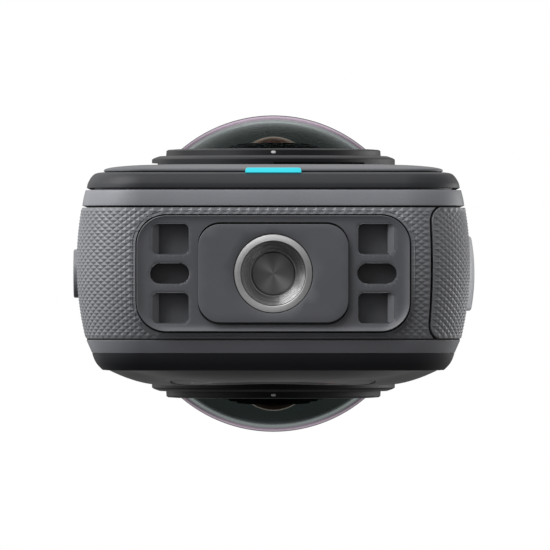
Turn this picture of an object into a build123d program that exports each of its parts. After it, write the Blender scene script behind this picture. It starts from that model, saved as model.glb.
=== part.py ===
from build123d import *
import os

# A pocket 360 degree camera. Millimetres, +Z up along the body.
# The origin is the centre of the tripod bush's face, in the plane that the camera stands on.
# The status light side faces +Y, the screen faces -Y, the battery side faces -X.

# Walls and clearances
grip_depth = 1.5
frame_wall = 1.45
close_gap = 0.05
slide_gap = 0.15
loose_gap = 0.3
overrun = 3.0
trim_wall = 1.2
cover_floor = 1.1
rear_cover_floor = 0.95
cover_rim_lap = 0.6

# Body outline, seen from the front
body_half_width = 22.3
body_height = 124.5
body_bottom = 0.3
corner_bottom_r = 7.5
corner_top_r = 14.0
frame_outer = grip_depth + close_gap
frame_inner = frame_outer + frame_wall
side_inner = body_half_width - frame_inner
side_seat = body_half_width - grip_depth

# Depths of the layers from the middle plane, towards +Y
grip_front = 7.45
seam = 0.2
front_trim_width = 1.8
front_cover_width = 1.83
panel_line = 0.08
front_panel_depth = 0.87
front_trim_near = grip_front + seam
front_trim_far = front_trim_near + front_trim_width
front_cover_near = front_trim_far + seam
front_cover_far = front_cover_near + front_cover_width
front_panel_near = front_cover_far + panel_line
front_face = front_panel_near + front_panel_depth
front_floor = front_cover_far - cover_floor

# Depths of the layers towards -Y
grip_rear = 7.33
rear_trim_width = 1.45
rear_cover_width = 1.85
rear_panel_depth = 1.82
crease_gap = 0.05
rear_trim_near = grip_rear + seam
rear_trim_far = rear_trim_near + rear_trim_width
rear_cover_near = rear_trim_far + crease_gap
rear_cover_far = rear_cover_near + rear_cover_width
rear_panel_near = rear_cover_far + panel_line
rear_face = rear_panel_near + rear_panel_depth
rear_floor = rear_cover_far - rear_cover_floor

# How far the skin lies inside the widest outline at each depth
grip_front_inset = 0.54
grip_rear_inset = 0.98
front_trim_near_inset = 0.66
front_trim_far_inset = 1.04
front_cover_near_inset = 1.17
front_cover_mid_inset = 1.5
front_cover_crown = 0.15
front_cover_far_inset = 2.3
rear_trim_near_inset = 1.13
rear_trim_far_inset = 1.77
rear_cover_mid_inset = 2.12
rear_cover_far_inset = 2.76
front_panel_insets = (3.1, 3.75, 5.6, 8.5)
front_panel_depth_shares = (0.0, 0.5, 0.86, 1.0)
rear_panel_insets = (3.4, 4.6, 6.4, 9.3)
rear_panel_depth_shares = (0.0, 0.4, 0.77, 1.0)
panel_corner_least = 3.0

# Lenses. Their radii follow the width, and their depths stand on the face of the body
lens_side_margin = 7.63
lens_top_margin = 6.9
lens_step_r = 1.75
lens_rim_width = 1.72
lens_disc_height = 1.65
lens_rim_height = 0.75
rear_lens_sink = 0.35
lens_disc_gap = 0.1
lens_disc_step = 0.75
lens_cut_width = 2.07
lens_cut_count = 3
lens_cut_angle = 48
lens_cut_middle = 246
dome_height = 4.27
dome_wall = 1.2
glass_edge_lap = 0.3
glass_foot_depth = 1.4
glass_lip = 0.42
seal_height = 0.36
seal_width = 1.0
neck_gap_r = 0.55
lens_neck_wall = 1.15
lens_neck_depth = 1.93
lug_reach = 1.25
lug_height = 0.55
lug_angle = 30
lug_count = 3
mount_flange_lap = 0.63
mount_neck_step = 0.77
mount_depth = 3.43
mount_wall = 1.45
mount_ledge = 1.2
barrel_head_gap = 0.3
barrel_head_depth = 3.83
barrel_shoulder_drop = 0.73
barrel_cone_height = 1.6
barrel_cone_r = 3.1
barrel_step_r = 2.1
barrel_foot_reach = 1.8
barrel_foot_height = 1.3
barrel_wall = 2.8
element_r = 3.4
element_rise = 1.77
lens_disc_r = body_half_width - lens_side_margin
lens_rim_r = lens_disc_r - lens_step_r
dome_chord_r = lens_rim_r - lens_rim_width
dome_r = (dome_chord_r ** 2 + dome_height ** 2) / (2 * dome_height)
glass_edge_r = dome_chord_r + glass_edge_lap
lens_neck_r = glass_edge_r - neck_gap_r
lug_r = lens_neck_r + lug_reach
mount_flange_r = lens_disc_r + mount_flange_lap
mount_neck_r = lens_disc_r - mount_neck_step
mount_pocket_r = mount_neck_r - mount_wall
barrel_head_r = lens_neck_r - lens_neck_wall - barrel_head_gap
barrel_body_r = barrel_head_r - barrel_step_r
barrel_foot_r = barrel_body_r + barrel_foot_reach
barrel_bore_r = barrel_body_r - barrel_wall
lens_height = body_height - mount_flange_r - lens_top_margin

# Sensors and their carrier
carrier_depth = 1.2
carrier_port_gap = 1.43
carrier_window = 12.0
sensor_board_margin = 5.3
sensor_board_depth = 0.8
sensor_lap_x = 0.9
sensor_sink_z = 0.1
sensor_depth = 1.1
sensor_board_half = mount_flange_r - sensor_board_margin
sensor_half_x = barrel_bore_r + sensor_lap_x
sensor_half_z = barrel_bore_r - sensor_sink_z

# Base plate, pad and bush
plate_side_margin = 6.82
plate_edge_margin = 0.71
plate_half_x = body_half_width - plate_side_margin
plate_half_y = grip_rear - plate_edge_margin
plate_corner_r = 3.4
plate_level = 0.2
plate_top = 2.6
plate_rim = 0.35
plate_slope_x = 1.5
plate_slope_y = 0.8
plate_sink = 0.35
pad_side_gap = 0.98
pad_edge_gap = 0.94
pad_corner_r = 2.5
pad_depth = 1.0
pad_gap_y = 0.35
pad_rim = 1.23
bush_step = 0.55
bush_top = 8.0
bush_floor = 1.2
bush_lip_share = 0.6256
thread_r = 2.5
thread_start = 1.3
square_side_margin = 2.58
square_edge_margin = 1.02
square_width = 3.35
square_length = 3.42
square_corner_r = 0.6
square_ramp = 0.7
slot_side_margin = 1.58
slot_length = 4.45
slot_half_y = 1.16
recess_depth = 1.5
base_boss_lap_x = 1.72
base_boss_lap_y = 0.58
base_boss_top = 4.2
square_far_x = plate_half_x - square_side_margin
square_near_x = square_far_x - square_width
square_far_y = plate_half_y - square_edge_margin
square_near_y = square_far_y - square_length
slot_far_x = plate_half_x - slot_side_margin
slot_near_x = slot_far_x - slot_length
pad_half_x = slot_near_x - pad_side_gap
pad_half_y = plate_half_y - pad_edge_gap
bush_face_r = pad_half_y - pad_rim
bush_body_r = bush_face_r - bush_step
bush_lip_r = thread_r + (bush_face_r - thread_r) * bush_lip_share
base_boss_half_x = plate_half_x + base_boss_lap_x
base_boss_half_y = plate_half_y + base_boss_lap_y

# Heights up the sides, hung from the lens
usb_drop = 27.3
usb_height = 17.0
door_top_drop = 4.5
bay_top_drop = 0.9
power_key_drop = 16.3
key_gap = 6.8
key_half_z = 6.6
usb_bottom = lens_height - usb_drop
door_top = usb_bottom - door_top_drop
bay_top = door_top - bay_top_drop
power_key_z = lens_height - power_key_drop
quick_key_z = power_key_z - 2 * key_half_z - key_gap

# Cover posts and screws
post_r = 1.7
post_bottom_margin = 8.3
post_bottom_z = 5.7
post_side_margin = 5.3
post_left_drop = 1.4
post_right_drop = 16.0
post_top_margin = 8.7
post_top_drop = 8.3
post_foot_r = 2.8
post_bottom_foot_r = 2.2
post_top_foot_r = 3.6
screw_r = 0.75
screw_head_r = 1.3
screw_head_depth = 0.65
screw_length = 4.6
screw_socket_r = 0.5
screw_socket_depth = 0.35
post_bottom_x = body_half_width - post_bottom_margin
post_side_x = body_half_width - post_side_margin
post_left_z = usb_bottom - post_left_drop
post_right_z = quick_key_z - post_right_drop
post_top_x = body_half_width - post_top_margin
post_top_z = body_height - post_top_drop

# Battery
door_seam_margin = 4.25
door_corner_r = 1.7
door_gap = 0.12
bay_bottom = 8.9
card_length = 15.0
card_end_gap = 1.0
tray_wall = 0.8
pack_gap = 0.35
plug_depth = 2.1
plug_fillet = 1.4
battery_seal_width = 0.8
battery_seal_groove = 0.5
contact_pad_side = 1.6
contact_pad_depth = 0.3
contact_pad_pitch = 2.4
contact_pad_count = 4
contact_drop = 7.6
contact_block_depth = 2.6
latch_half_y = 4.35
latch_height = 15.0
latch_drop = 20.5
latch_proud = 1.2
latch_sink = 1.0
latch_travel = 2.5
latch_corner_r = 1.6
door_seam_x = body_half_width - door_seam_margin
bay_half_y = min(grip_front, grip_rear) - tray_wall - close_gap
bay_end_x = side_inner - card_length - card_end_gap
contact_height = bay_top - contact_drop
latch_bottom = door_top - latch_drop

# Cable door and port
usb_edge_margin = 2.33
usb_corner_r = 1.5
usb_door_depth = 1.4
usb_pin_r = 0.35
usb_knuckle_r = 0.95
usb_pin_over = 0.7
usb_port_lift = 0.9
usb_port_half_y = 1.63
usb_port_half_z = 4.47
usb_port_depth = 7.35
usb_port_wall = 0.35
usb_tongue = 0.7
usb_tongue_share = 0.75
usb_seal_side = 2.0
usb_seal_end = 2.5
usb_seal_depth = 0.6
usb_seal_width = 0.9
usb_relief_depth = 0.8
usb_half_y = grip_rear - usb_edge_margin
usb_port_z = usb_bottom + usb_height / 2 + usb_port_lift
usb_seal_half_y = usb_half_y - usb_seal_side
usb_seal_half_z = usb_height / 2 - usb_seal_end
carrier_bottom = usb_port_z + usb_port_half_z + usb_tongue + carrier_port_gap

# Side keys
key_half_y = 2.85
key_proud = 1.2
key_flange = 0.55
key_flange_depth = 0.6
key_lip = 0.5
key_board_gap = 0.7
key_board_depth = 0.6
key_board_half_y = 3.4
key_dome_r = 1.6
key_dome_depth = 0.3
key_board_foot = 1.5

# Screen
module_post_gap = 0.6
glass_key_gap = 9.3
glass_lens_gap = 2.2
glass_corner_r = 3.0
glass_depth = 0.8
glass_sink = 0.4
module_margin = 0.7
module_depth = 2.1
spreader_depth = 0.5
scoop_r = 82.0
scoop_tilt = 0.8
module_half_x = post_side_x - post_r - module_post_gap
glass_half_x = module_half_x + module_margin
glass_top = lens_height - mount_flange_r - glass_lens_gap

# Keys below the screen
rear_board_post_gap = 3.2
shutter_start = 0.3
shutter_half_x = 5.6
shutter_half_z = 3.5
lens_key_start = 4.8
lens_key_half = 3.4
rear_key_sink = 0.63
rear_key_travel = 0.4
rear_key_flange = 0.6
rear_key_flange_depth = 0.6
rear_board_depth = 0.6
rear_board_margin = 2.4
rear_board_half_z = 4.6
rear_dome_depth = 0.25
rear_board_post_r = 0.8
rear_key_z = post_bottom_z + post_r + rear_board_half_z + rear_board_post_gap
glass_bottom = rear_key_z + glass_key_gap
shutter_x = shutter_start + shutter_half_x
lens_key_x = lens_key_start + lens_key_half
rear_board_half_x = lens_key_x + lens_key_half + rear_board_margin
rear_key_face = rear_face - rear_key_sink

# Status light
light_half_x = 3.15
light_lap = 0.12
light_width = 0.54
light_depth = 3.2
light_corner_r = 0.5
light_near = front_cover_far - light_lap
light_far = light_near + light_width

# Boards and small parts inside
board_post_gap = 0.2
board_foot_gap = 2.2
board_over_glass = 0.8
board_depth = 1.0
board_lift = 0.1
shield_depth = 1.15
shield_inset = 2.0
shield_split_share = 0.45
shield_gap = 1.2
card_width = 11.0
card_depth = 1.0
card_wall_gap = 1.1
card_z = 13.0
socket_wall = 0.4
speaker_post_gap = 0.2
speaker_height = 16.0
speaker_half_y = 4.0
speaker_depth = 4.0
speaker_hole_r = 0.45
speaker_hole_pitch = 2.4
speaker_hole_count = 5
mic_x = 6.4
mic_mesh_r = 1.3
mic_mesh_depth = 0.4
mic_mesh_sink = 0.08
mic_port_r = 0.5
mic_half = 1.6
mic_depth = 1.1
antenna_half_x = 4.5
antenna_half_y = 3.0
antenna_depth = 0.3
board_half_x = post_side_x - post_r - board_post_gap
board_bottom = post_bottom_z + post_r + board_foot_gap
board_top = glass_top + board_over_glass
shield_split = board_bottom + (board_top - board_bottom) * shield_split_share
card_y = card_wall_gap - bay_half_y
speaker_bottom = post_right_z - post_foot_r - speaker_height - speaker_post_gap

pin_x = body_half_width - usb_knuckle_r
pin_z = usb_bottom + usb_knuckle_r
glass_face = rear_face - glass_sink
glass_back = glass_face - glass_depth
module_back = glass_back - close_gap - module_depth


def outline(inset, least_r=0.0):
    """Closed outline of the body in the XZ plane, drawn in by an inset."""
    half = body_half_width - inset
    low = body_bottom + inset
    high = body_height - inset
    foot = max(corner_bottom_r - inset, least_r)
    head = max(corner_top_r - inset, least_r)
    with BuildLine(Plane.XZ) as line:
        Line((0, low), (half - foot, low))
        RadiusArc((half - foot, low), (half, low + foot), -foot)
        Line((half, low + foot), (half, high - head))
        RadiusArc((half, high - head), (half - head, high), -head)
        Line((half - head, high), (head - half, high))
        RadiusArc((head - half, high), (-half, high - head), -head)
        Line((-half, high - head), (-half, low + foot))
        RadiusArc((-half, low + foot), (foot - half, low), -foot)
        Line((foot - half, low), (0, low))
    return line.wires()[0]


def slab(inset, near, far, least_r=0.0):
    """A plate of the body's outline between two depths along Y."""
    face = make_face(outline(inset, least_r).edges())
    return Pos(0, far, 0) * extrude(face, far - near)


def ring(corners, bulge=None):
    """A closed ring whose (y, inset) section runs round the outline. The last side may bulge."""
    points = []
    for depth, inset in corners:
        points.append((depth, body_bottom + inset))
    with BuildSketch(Plane.YZ) as section:
        with BuildLine():
            Polyline(*points)
            if bulge is None:
                Line(points[-1], points[0])
            else:
                ThreePointArc(points[-1], (bulge[0], body_bottom + bulge[1]), points[0])
        make_face()
    return sweep(section.sketch.faces()[0], path=outline(0))


def block(x0, x1, y0, y1, z0, z1):
    """A box between two corners."""
    shape = Box(x1 - x0, y1 - y0, z1 - z0)
    return Pos((x0 + x1) / 2, (y0 + y1) / 2, (z0 + z1) / 2) * shape


def side_prism(half_y, half_z, corner_r, middle_z, x0, x1):
    """A rounded rectangle in the YZ plane, carried along X."""
    corner = min(corner_r, half_y - close_gap, half_z - close_gap)
    sketch = Plane.YZ * RectangleRounded(2 * half_y, 2 * half_z, corner)
    return Pos(x0, 0, middle_z) * extrude(sketch, x1 - x0)


def face_prism(middle_x, middle_z, half_x, half_z, corner_r, y0, y1):
    """A rounded rectangle in the XZ plane, carried along Y."""
    corner = min(corner_r, half_x - close_gap, half_z - close_gap)
    sketch = Plane.XZ * RectangleRounded(2 * half_x, 2 * half_z, corner)
    return Pos(middle_x, y1, middle_z) * extrude(sketch, y1 - y0)


def foot_prism(half_x, half_y, corner_r, z0, z1):
    """A rounded rectangle in the XY plane, carried up Z."""
    corner = min(corner_r, half_x - close_gap, half_y - close_gap)
    return Pos(0, 0, z0) * extrude(RectangleRounded(2 * half_x, 2 * half_y, corner), z1 - z0)


def round_y(radius, y0, y1, x=0.0, z=0.0):
    """A cylinder along Y."""
    return Pos(x, (y0 + y1) / 2, z) * Rot(90, 0, 0) * Cylinder(radius, y1 - y0)


def round_x(radius, x0, x1, y=0.0, z=0.0):
    """A cylinder along X."""
    return Pos((x0 + x1) / 2, y, z) * Rot(0, 90, 0) * Cylinder(radius, x1 - x0)


def round_z(radius, z0, z1, x=0.0, y=0.0):
    """A cylinder along Z."""
    return Pos(x, y, (z0 + z1) / 2) * Cylinder(radius, z1 - z0)


def skin_ring(inner):
    """The full width of the grip, crowned outside, down to an inner inset."""
    corners = [(grip_front, grip_front_inset), (grip_front, inner), (-grip_rear, inner)]
    corners.append((-grip_rear, grip_rear_inset))
    return ring(corners, bulge=(0, 0))


def door_prism(grow):
    """The space of the battery door: the -X side, round the bottom corner, up to its top end."""
    reach = body_half_width + latch_proud + overrun
    half_y = (grip_front + grip_rear) / 2 + grow
    middle_y = (grip_front - grip_rear) / 2
    corner = door_corner_r + grow
    depth = reach - door_seam_x + grow
    plan = Rectangle(2 * depth, 2 * half_y)
    plan = fillet(plan.vertices().group_by(Axis.X)[-1], corner)
    down = extrude(Pos(-reach, middle_y) * plan, door_top + overrun)
    down = Pos(0, 0, -overrun + body_bottom) * down
    high = Plane.YZ * RectangleRounded(2 * half_y, 2 * (door_top + grow), corner)
    across = Pos(-reach, middle_y, 0) * extrude(high, 2 * depth)
    return down & across


def posts():
    """The six screw posts, as (x, z) places."""
    return [(x, z) for x, z, foot_r in post_feet()]


def post_feet():
    """Each post's place, and the radius of the foot that joins it to the frame."""
    feet = []
    for side in (-1, 1):
        feet.append((side * post_bottom_x, post_bottom_z, post_bottom_foot_r))
        feet.append((side * post_top_x, post_top_z, post_top_foot_r))
    feet.append((-post_side_x, post_left_z, post_foot_r))
    feet.append((post_side_x, post_right_z, post_foot_r))
    return feet


def base_opening(grow, top):
    """The opening for the base plate through the skin and the frame."""
    half_x = plate_half_x + grow
    half_y = plate_half_y + grow
    return foot_prism(half_x, half_y, plate_corner_r + grow, -overrun, top)


def side_key_cut(middle_z, grow, x0, x1):
    return side_prism(key_half_y + grow, key_half_z + grow, key_half_y + grow, middle_z, x0, x1)


def mic_places():
    return (-mic_x, mic_x)


def speaker_places():
    middle = speaker_bottom + speaker_height / 2
    first = middle - speaker_hole_pitch * (speaker_hole_count - 1) / 2
    return [first + speaker_hole_pitch * step for step in range(speaker_hole_count)]


def port_cuts():
    """Sound holes through the skin and the frame: microphones on top, speaker at +X."""
    holes = []
    for x in mic_places():
        holes.append(round_z(mic_port_r, body_height - frame_inner - overrun, body_height + overrun, x))
    for z in speaker_places():
        reach = body_half_width + overrun
        holes.append(round_x(speaker_hole_r, side_inner - close_gap, reach, 0, z))
    return holes


def make_grip_band():
    band = skin_ring(grip_depth)
    band -= base_opening(close_gap, body_bottom + grip_depth + overrun)
    band -= door_prism(door_gap)
    reach = body_half_width + overrun
    band -= usb_door_shape(slide_gap, -reach, -side_seat + close_gap)
    band -= Pos(-pin_x, 0, pin_z) * Rot(90, 0, 0) * Cylinder(usb_pin_r + close_gap / 2, 2 * pin_reach())
    for z in (power_key_z, quick_key_z):
        band -= side_key_cut(z, slide_gap, side_seat - overrun, reach)
    for x in mic_places():
        top = body_height + overrun
        band -= round_z(mic_mesh_r + close_gap / 2, mic_mesh_low() - close_gap, top, x)
    for hole in port_cuts():
        band -= hole
    return band


def pin_reach():
    return usb_half_y + usb_pin_over


def mic_mesh_low():
    return body_height - mic_mesh_sink - mic_mesh_depth


def frame_ring():
    corners = [(grip_front, frame_outer), (grip_front, frame_inner)]
    corners += [(-grip_rear, frame_inner), (-grip_rear, frame_outer)]
    return ring(corners)


def make_mid_frame():
    frame = frame_ring()
    boss = block(-base_boss_half_x, base_boss_half_x, -base_boss_half_y, base_boss_half_y,
                 body_bottom + frame_outer, base_boss_top)
    frame += boss & slab(frame_outer, -grip_rear, grip_front)
    clear = rear_panel_insets[0] + cover_rim_lap + close_gap
    for x, z, foot_r in post_feet():
        post = round_y(post_r, -rear_floor + close_gap, front_floor - close_gap, x, z)
        frame += post & slab(clear, -rear_cover_far, front_cover_far)
        foot = round_y(foot_r, -grip_rear, grip_front, x, z)
        frame += foot & slab(frame_outer + close_gap, -grip_rear, grip_front)
    for x, z in posts():
        depth = screw_length - cover_floor + close_gap * 2
        front = front_floor - close_gap
        frame -= round_y(screw_r + close_gap / 2, front - depth, front + overrun, x, z)
        rear = -rear_floor + close_gap
        frame -= round_y(screw_r + close_gap / 2, rear - overrun, rear + depth, x, z)
    frame -= base_opening(close_gap, plate_top + close_gap)
    frame -= round_z(bush_body_r + close_gap, 0, bush_top)
    grow = slide_gap
    plug_low = bay_bottom - grow
    plug_high = bay_top + grow
    middle = (plug_low + plug_high) / 2
    reach = body_half_width + overrun
    half_y = bay_half_y + grow
    half_z = (plug_high - plug_low) / 2
    frame -= side_prism(half_y, half_z, plug_fillet, middle, -reach, -side_inner + overrun)
    relief = usb_knuckle_r + loose_gap
    frame -= round_along_y(relief, usb_half_y + loose_gap, -pin_x, pin_z)
    frame -= side_prism(usb_seal_half_y + loose_gap, usb_seal_half_z + loose_gap, usb_corner_r,
                        usb_port_z, -reach, -side_seat + usb_relief_depth)
    frame -= usb_opening(close_gap)
    for z in (power_key_z, quick_key_z):
        frame -= side_key_cut(z, slide_gap, side_inner - close_gap, reach)
        frame -= side_key_cut(z, key_flange + slide_gap, side_inner - overrun / 2, key_lip_x())
    for hole in port_cuts():
        frame -= hole
    return frame


def key_lip_x():
    return body_half_width - frame_outer - key_lip


def round_along_y(radius, half, x, z):
    return Pos(x, 0, z) * Rot(90, 0, 0) * Cylinder(radius, 2 * half)


def usb_door_shape(grow, x0, x1):
    """The door's outline carried along X: round at its free end, square along its hinge."""
    half_y = usb_half_y + grow
    middle = usb_bottom + usb_height / 2
    shape = side_prism(half_y, usb_height / 2 + grow, usb_corner_r + grow, middle, x0, x1)
    return shape + block(x0, x1, -half_y, half_y, usb_bottom - grow, middle)


def usb_opening(grow):
    reach = body_half_width + overrun
    half_y = usb_port_half_y + grow
    half_z = usb_port_half_z + grow
    return side_prism(half_y, half_z, half_y, usb_port_z, -reach, -side_inner + close_gap)


def make_trim(side, near, far, near_inset, far_inset, crown):
    """A smooth trim band, slightly crowned outside."""
    inner = far_inset + trim_wall
    corners = [(side * near, near_inset), (side * near, inner), (side * far, inner)]
    corners.append((side * far, far_inset))
    middle = (side * (near + far) / 2, (near_inset + far_inset) / 2 - crown)
    return ring(corners, bulge=middle)


def seam_gasket(side, near):
    """The dark seal between the grip and a trim."""
    low = near + close_gap / 2
    high = near + seam - close_gap / 2
    start = grip_rear_inset + close_gap * 4
    corners = [(side * low, start), (side * low, frame_inner)]
    corners += [(side * high, frame_inner), (side * high, start)]
    return ring(corners)


def lens_hole(radius, side):
    far = rim_far(side) + dome_height + overrun
    if side > 0:
        return round_y(radius, 0, far, 0, lens_height)
    return round_y(radius, -far, 0, 0, lens_height)


def make_front_cover():
    near = front_cover_near
    far = front_cover_far
    inner = front_panel_insets[0] + cover_rim_lap
    mid = (near + far) / 2
    corners = [(far, front_cover_far_inset), (far, inner), (near, inner), (near, front_cover_near_inset)]
    cover = ring(corners, bulge=(mid, front_cover_mid_inset - front_cover_crown))
    cover += slab(front_panel_insets[0], front_floor, far)
    cover -= lens_hole(mount_neck_r + close_gap, 1)
    for x, z in posts():
        cover -= round_y(screw_r + slide_gap, 0, far + overrun, x, z)
        cover -= round_y(screw_head_r + slide_gap, far - screw_head_depth - close_gap, far + overrun, x, z)
    return cover - light_box(close_gap)


def make_rear_cover():
    near = rear_cover_near
    far = rear_cover_far
    inner = rear_panel_insets[0] + cover_rim_lap
    mid = (near + far) / 2
    corners = [(-far, rear_cover_far_inset), (-far, inner), (-near, inner), (-near, rear_trim_far_inset)]
    cover = ring(corners, bulge=(-mid, rear_cover_mid_inset))
    cover += slab(rear_panel_insets[0], -far, -rear_floor)
    cover -= lens_hole(mount_neck_r + close_gap, -1)
    cover -= module_space(close_gap * 2)
    for x, z in posts():
        cover -= round_y(screw_r + slide_gap, -far - overrun, 0, x, z)
        cover -= round_y(screw_head_r + slide_gap, -far - overrun, -far + screw_head_depth + close_gap, x, z)
    for shape in rear_key_cuts():
        cover -= shape
    return cover


def panel_loft(side, near, depth, insets, shares):
    """A domed panel: outlines drawn in step by step as it rises."""
    sections = []
    for inset, share in zip(insets, shares):
        wire = outline(inset, panel_corner_least)
        face = make_face(wire.edges())
        sections.append(Pos(0, side * (near + depth * share), 0) * face)
    return loft(sections)


def make_front_panel_blank():
    return panel_loft(1, front_panel_near, front_panel_depth, front_panel_insets, front_panel_depth_shares)


def light_box(grow):
    """The space of the status light at the lower edge of the front panel."""
    low = body_bottom + front_cover_near_inset
    high = body_bottom + front_panel_insets[0] + light_depth + grow
    half = light_half_x + grow
    plan = Rectangle(2 * half, light_far - light_near + 2 * grow)
    plan = fillet(plan.vertices().group_by(Axis.Y)[-1], light_corner_r)
    middle = (light_near + light_far) / 2
    return Pos(0, middle, low) * extrude(plan, high - low)


def make_front_panel():
    panel = make_front_panel_blank()
    panel -= lens_hole(mount_flange_r + close_gap, 1)
    return panel - light_box(close_gap)


def make_status_light():
    return light_box(0) & (slab(front_cover_far_inset, 0, front_cover_far + panel_line)
                           + make_front_panel_blank())


def glass_space(grow):
    middle = (glass_bottom + glass_top) / 2
    half_z = (glass_top - glass_bottom) / 2
    far = rear_face + overrun
    near = glass_back - grow
    return face_prism(0, middle, glass_half_x + grow, half_z + grow, glass_corner_r, -far, -near)


def module_space(grow):
    middle = (glass_bottom + glass_top) / 2
    half_z = (glass_top - glass_bottom) / 2 - module_margin
    return face_prism(0, middle, module_half_x + grow, half_z + grow, glass_corner_r / 2,
                      -glass_back, -module_back)


def rear_key_cuts():
    far = rear_face + overrun
    shutter = face_prism(-shutter_x, rear_key_z, shutter_half_x + slide_gap, shutter_half_z + slide_gap,
                         shutter_half_z + slide_gap, -far, 0)
    lens = face_prism(lens_key_x, rear_key_z, lens_key_half + slide_gap, lens_key_half + slide_gap,
                      lens_key_half + slide_gap, -far, 0)
    return (shutter, lens)


def scoop():
    """A very shallow groove up the lower face, deepest at the bottom edge."""
    tall = glass_bottom
    shape = Cylinder(scoop_r, 4 * tall)
    pivot = Pos(0, -glass_face, tall)
    return pivot * Rot(scoop_tilt, 0, 0) * Pos(0, -scoop_r, 0) * shape


def make_rear_panel():
    panel = panel_loft(-1, rear_panel_near, rear_panel_depth, rear_panel_insets, rear_panel_depth_shares)
    panel -= scoop()
    panel -= lens_hole(mount_flange_r + close_gap, -1)
    panel -= glass_space(close_gap)
    panel -= module_space(close_gap * 2)
    for shape in rear_key_cuts():
        panel -= shape
    return panel


def make_screen_glass():
    middle = (glass_bottom + glass_top) / 2
    half_z = (glass_top - glass_bottom) / 2
    glass = face_prism(0, middle, glass_half_x, half_z, glass_corner_r, -glass_face, -glass_back)
    return glass


def make_display_module():
    middle = (glass_bottom + glass_top) / 2
    half_z = (glass_top - glass_bottom) / 2 - module_margin
    near = -glass_back + close_gap
    return face_prism(0, middle, module_half_x, half_z, glass_corner_r / 2, near, -module_back)


def make_heat_spreader():
    middle = (glass_bottom + glass_top) / 2
    half_z = (glass_top - glass_bottom) / 2 - module_margin
    near = module_back - loose_gap
    return face_prism(0, middle, module_half_x, half_z, glass_corner_r, -near, -near + spreader_depth)


def make_main_board():
    near = grip_front + board_lift
    middle = (board_bottom + board_top) / 2
    half_z = (board_top - board_bottom) / 2
    return face_prism(0, middle, board_half_x, half_z, panel_corner_least, near, near + board_depth)


def make_board_shields():
    near = grip_front + board_lift + board_depth + close_gap
    cans = []
    lower = (board_bottom + shield_inset, shield_split)
    upper = (shield_split + shield_gap, board_top - shield_inset)
    half_x = board_half_x - shield_inset
    wall = tray_wall / 2
    for low, high in (lower, upper):
        middle = (low + high) / 2
        half_z = (high - low) / 2
        can = face_prism(0, middle, half_x, half_z, square_corner_r, near, near + shield_depth)
        hollow = face_prism(0, middle, half_x - wall, half_z - wall, square_corner_r,
                            near - overrun, near + shield_depth - wall)
        cans.append(can - hollow)
    return Compound(children=cans)


def plate_body():
    return foot_prism(plate_half_x, plate_half_y, plate_corner_r, plate_level, plate_top)


def make_base_plate():
    plate = plate_body()
    half_x = plate_half_x - plate_rim
    half_y = plate_half_y - plate_rim
    corner = plate_corner_r - plate_rim
    outer = Pos(0, 0, plate_level - close_gap) * RectangleRounded(2 * half_x, 2 * half_y, corner)
    low_x = half_x - plate_slope_x
    low_y = half_y - plate_slope_y
    floor = plate_level + plate_sink
    inner = Pos(0, 0, floor) * RectangleRounded(2 * low_x, 2 * low_y, corner - plate_slope_y)
    plate -= loft([outer.face(), inner.face()], ruled=True)
    plate -= foot_prism(pad_half_x + slide_gap, pad_half_y + pad_gap_y, pad_corner_r, -overrun, pad_depth)
    plate -= round_z(bush_face_r + close_gap, -overrun, plate_top + overrun)
    for sign_x in (-1, 1):
        middle_x = sign_x * (square_near_x + square_far_x) / 2
        half_square = (square_far_x - square_near_x) / 2
        high = plate_level + recess_depth
        for sign_y in (-1, 1):
            middle_y = sign_y * (square_near_y + square_far_y) / 2
            side_y = square_far_y - square_near_y
            shape = RectangleRounded(2 * half_square, side_y, square_corner_r)
            plate -= Pos(middle_x, middle_y, -overrun) * extrude(shape, high + overrun)
            plate -= ramp_cut(sign_x, middle_y, side_y, high)
        slot_x = sign_x * (slot_near_x + slot_far_x) / 2
        slot = SlotOverall(slot_far_x - slot_near_x, 2 * slot_half_y)
        plate -= Pos(slot_x, 0, -overrun) * extrude(slot, high + overrun)
    return plate


def ramp_cut(sign_x, middle_y, side_y, high):
    """The sloped outer wall of a square recess."""
    near = square_far_x - square_corner_r
    far = square_far_x + square_ramp
    low = plate_level
    points = [(near, low - overrun), (far, low - overrun), (far, low + plate_sink / 2),
              (square_far_x, high), (near, high)]
    half = side_y / 2 - square_corner_r / 2
    with BuildSketch(Plane.XZ) as section:
        with BuildLine():
            Polyline(*[(sign_x * x, z) for x, z in points], close=True)
        make_face()
    return Pos(0, middle_y + half, 0) * extrude(section.sketch, amount=2 * half, dir=(0, -1, 0))


def make_tripod_pad():
    pad = foot_prism(pad_half_x, pad_half_y, pad_corner_r, 0, pad_depth - close_gap)
    return pad - round_z(bush_face_r + close_gap, -overrun, pad_depth + overrun)


def make_tripod_bush():
    bush = round_z(bush_face_r, 0, plate_top) + round_z(bush_body_r, plate_top - close_gap, bush_top)
    bush -= round_z(thread_r, -overrun, bush_top - bush_floor)
    cone = Pos(0, 0, thread_start / 2) * Cone(bush_lip_r, thread_r, thread_start)
    return bush - cone


def make_battery_tray():
    reach_x = -(side_inner - close_gap)
    low = bay_bottom - tray_wall
    high = bay_top + tray_wall
    tray = block(reach_x, bay_end_x + tray_wall, -bay_half_y - tray_wall, bay_half_y + tray_wall, low, high)
    tray -= block(reach_x - overrun, bay_end_x, -bay_half_y, bay_half_y, bay_bottom, bay_top)
    half_z = contact_pad_pitch * contact_pad_count / 2
    tray -= block(bay_end_x - overrun, bay_end_x + overrun, -contact_pad_side, contact_pad_side,
                  contact_height - half_z, contact_height + half_z)
    half_y = card_depth / 2 + socket_wall
    tray -= block(bay_end_x - overrun, bay_end_x + overrun, card_y - half_y, card_y + half_y,
                  card_z - socket_wall, card_z + card_width + socket_wall)
    return tray


def plug_end_x():
    return body_half_width - grip_depth - close_gap - plug_depth


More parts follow.
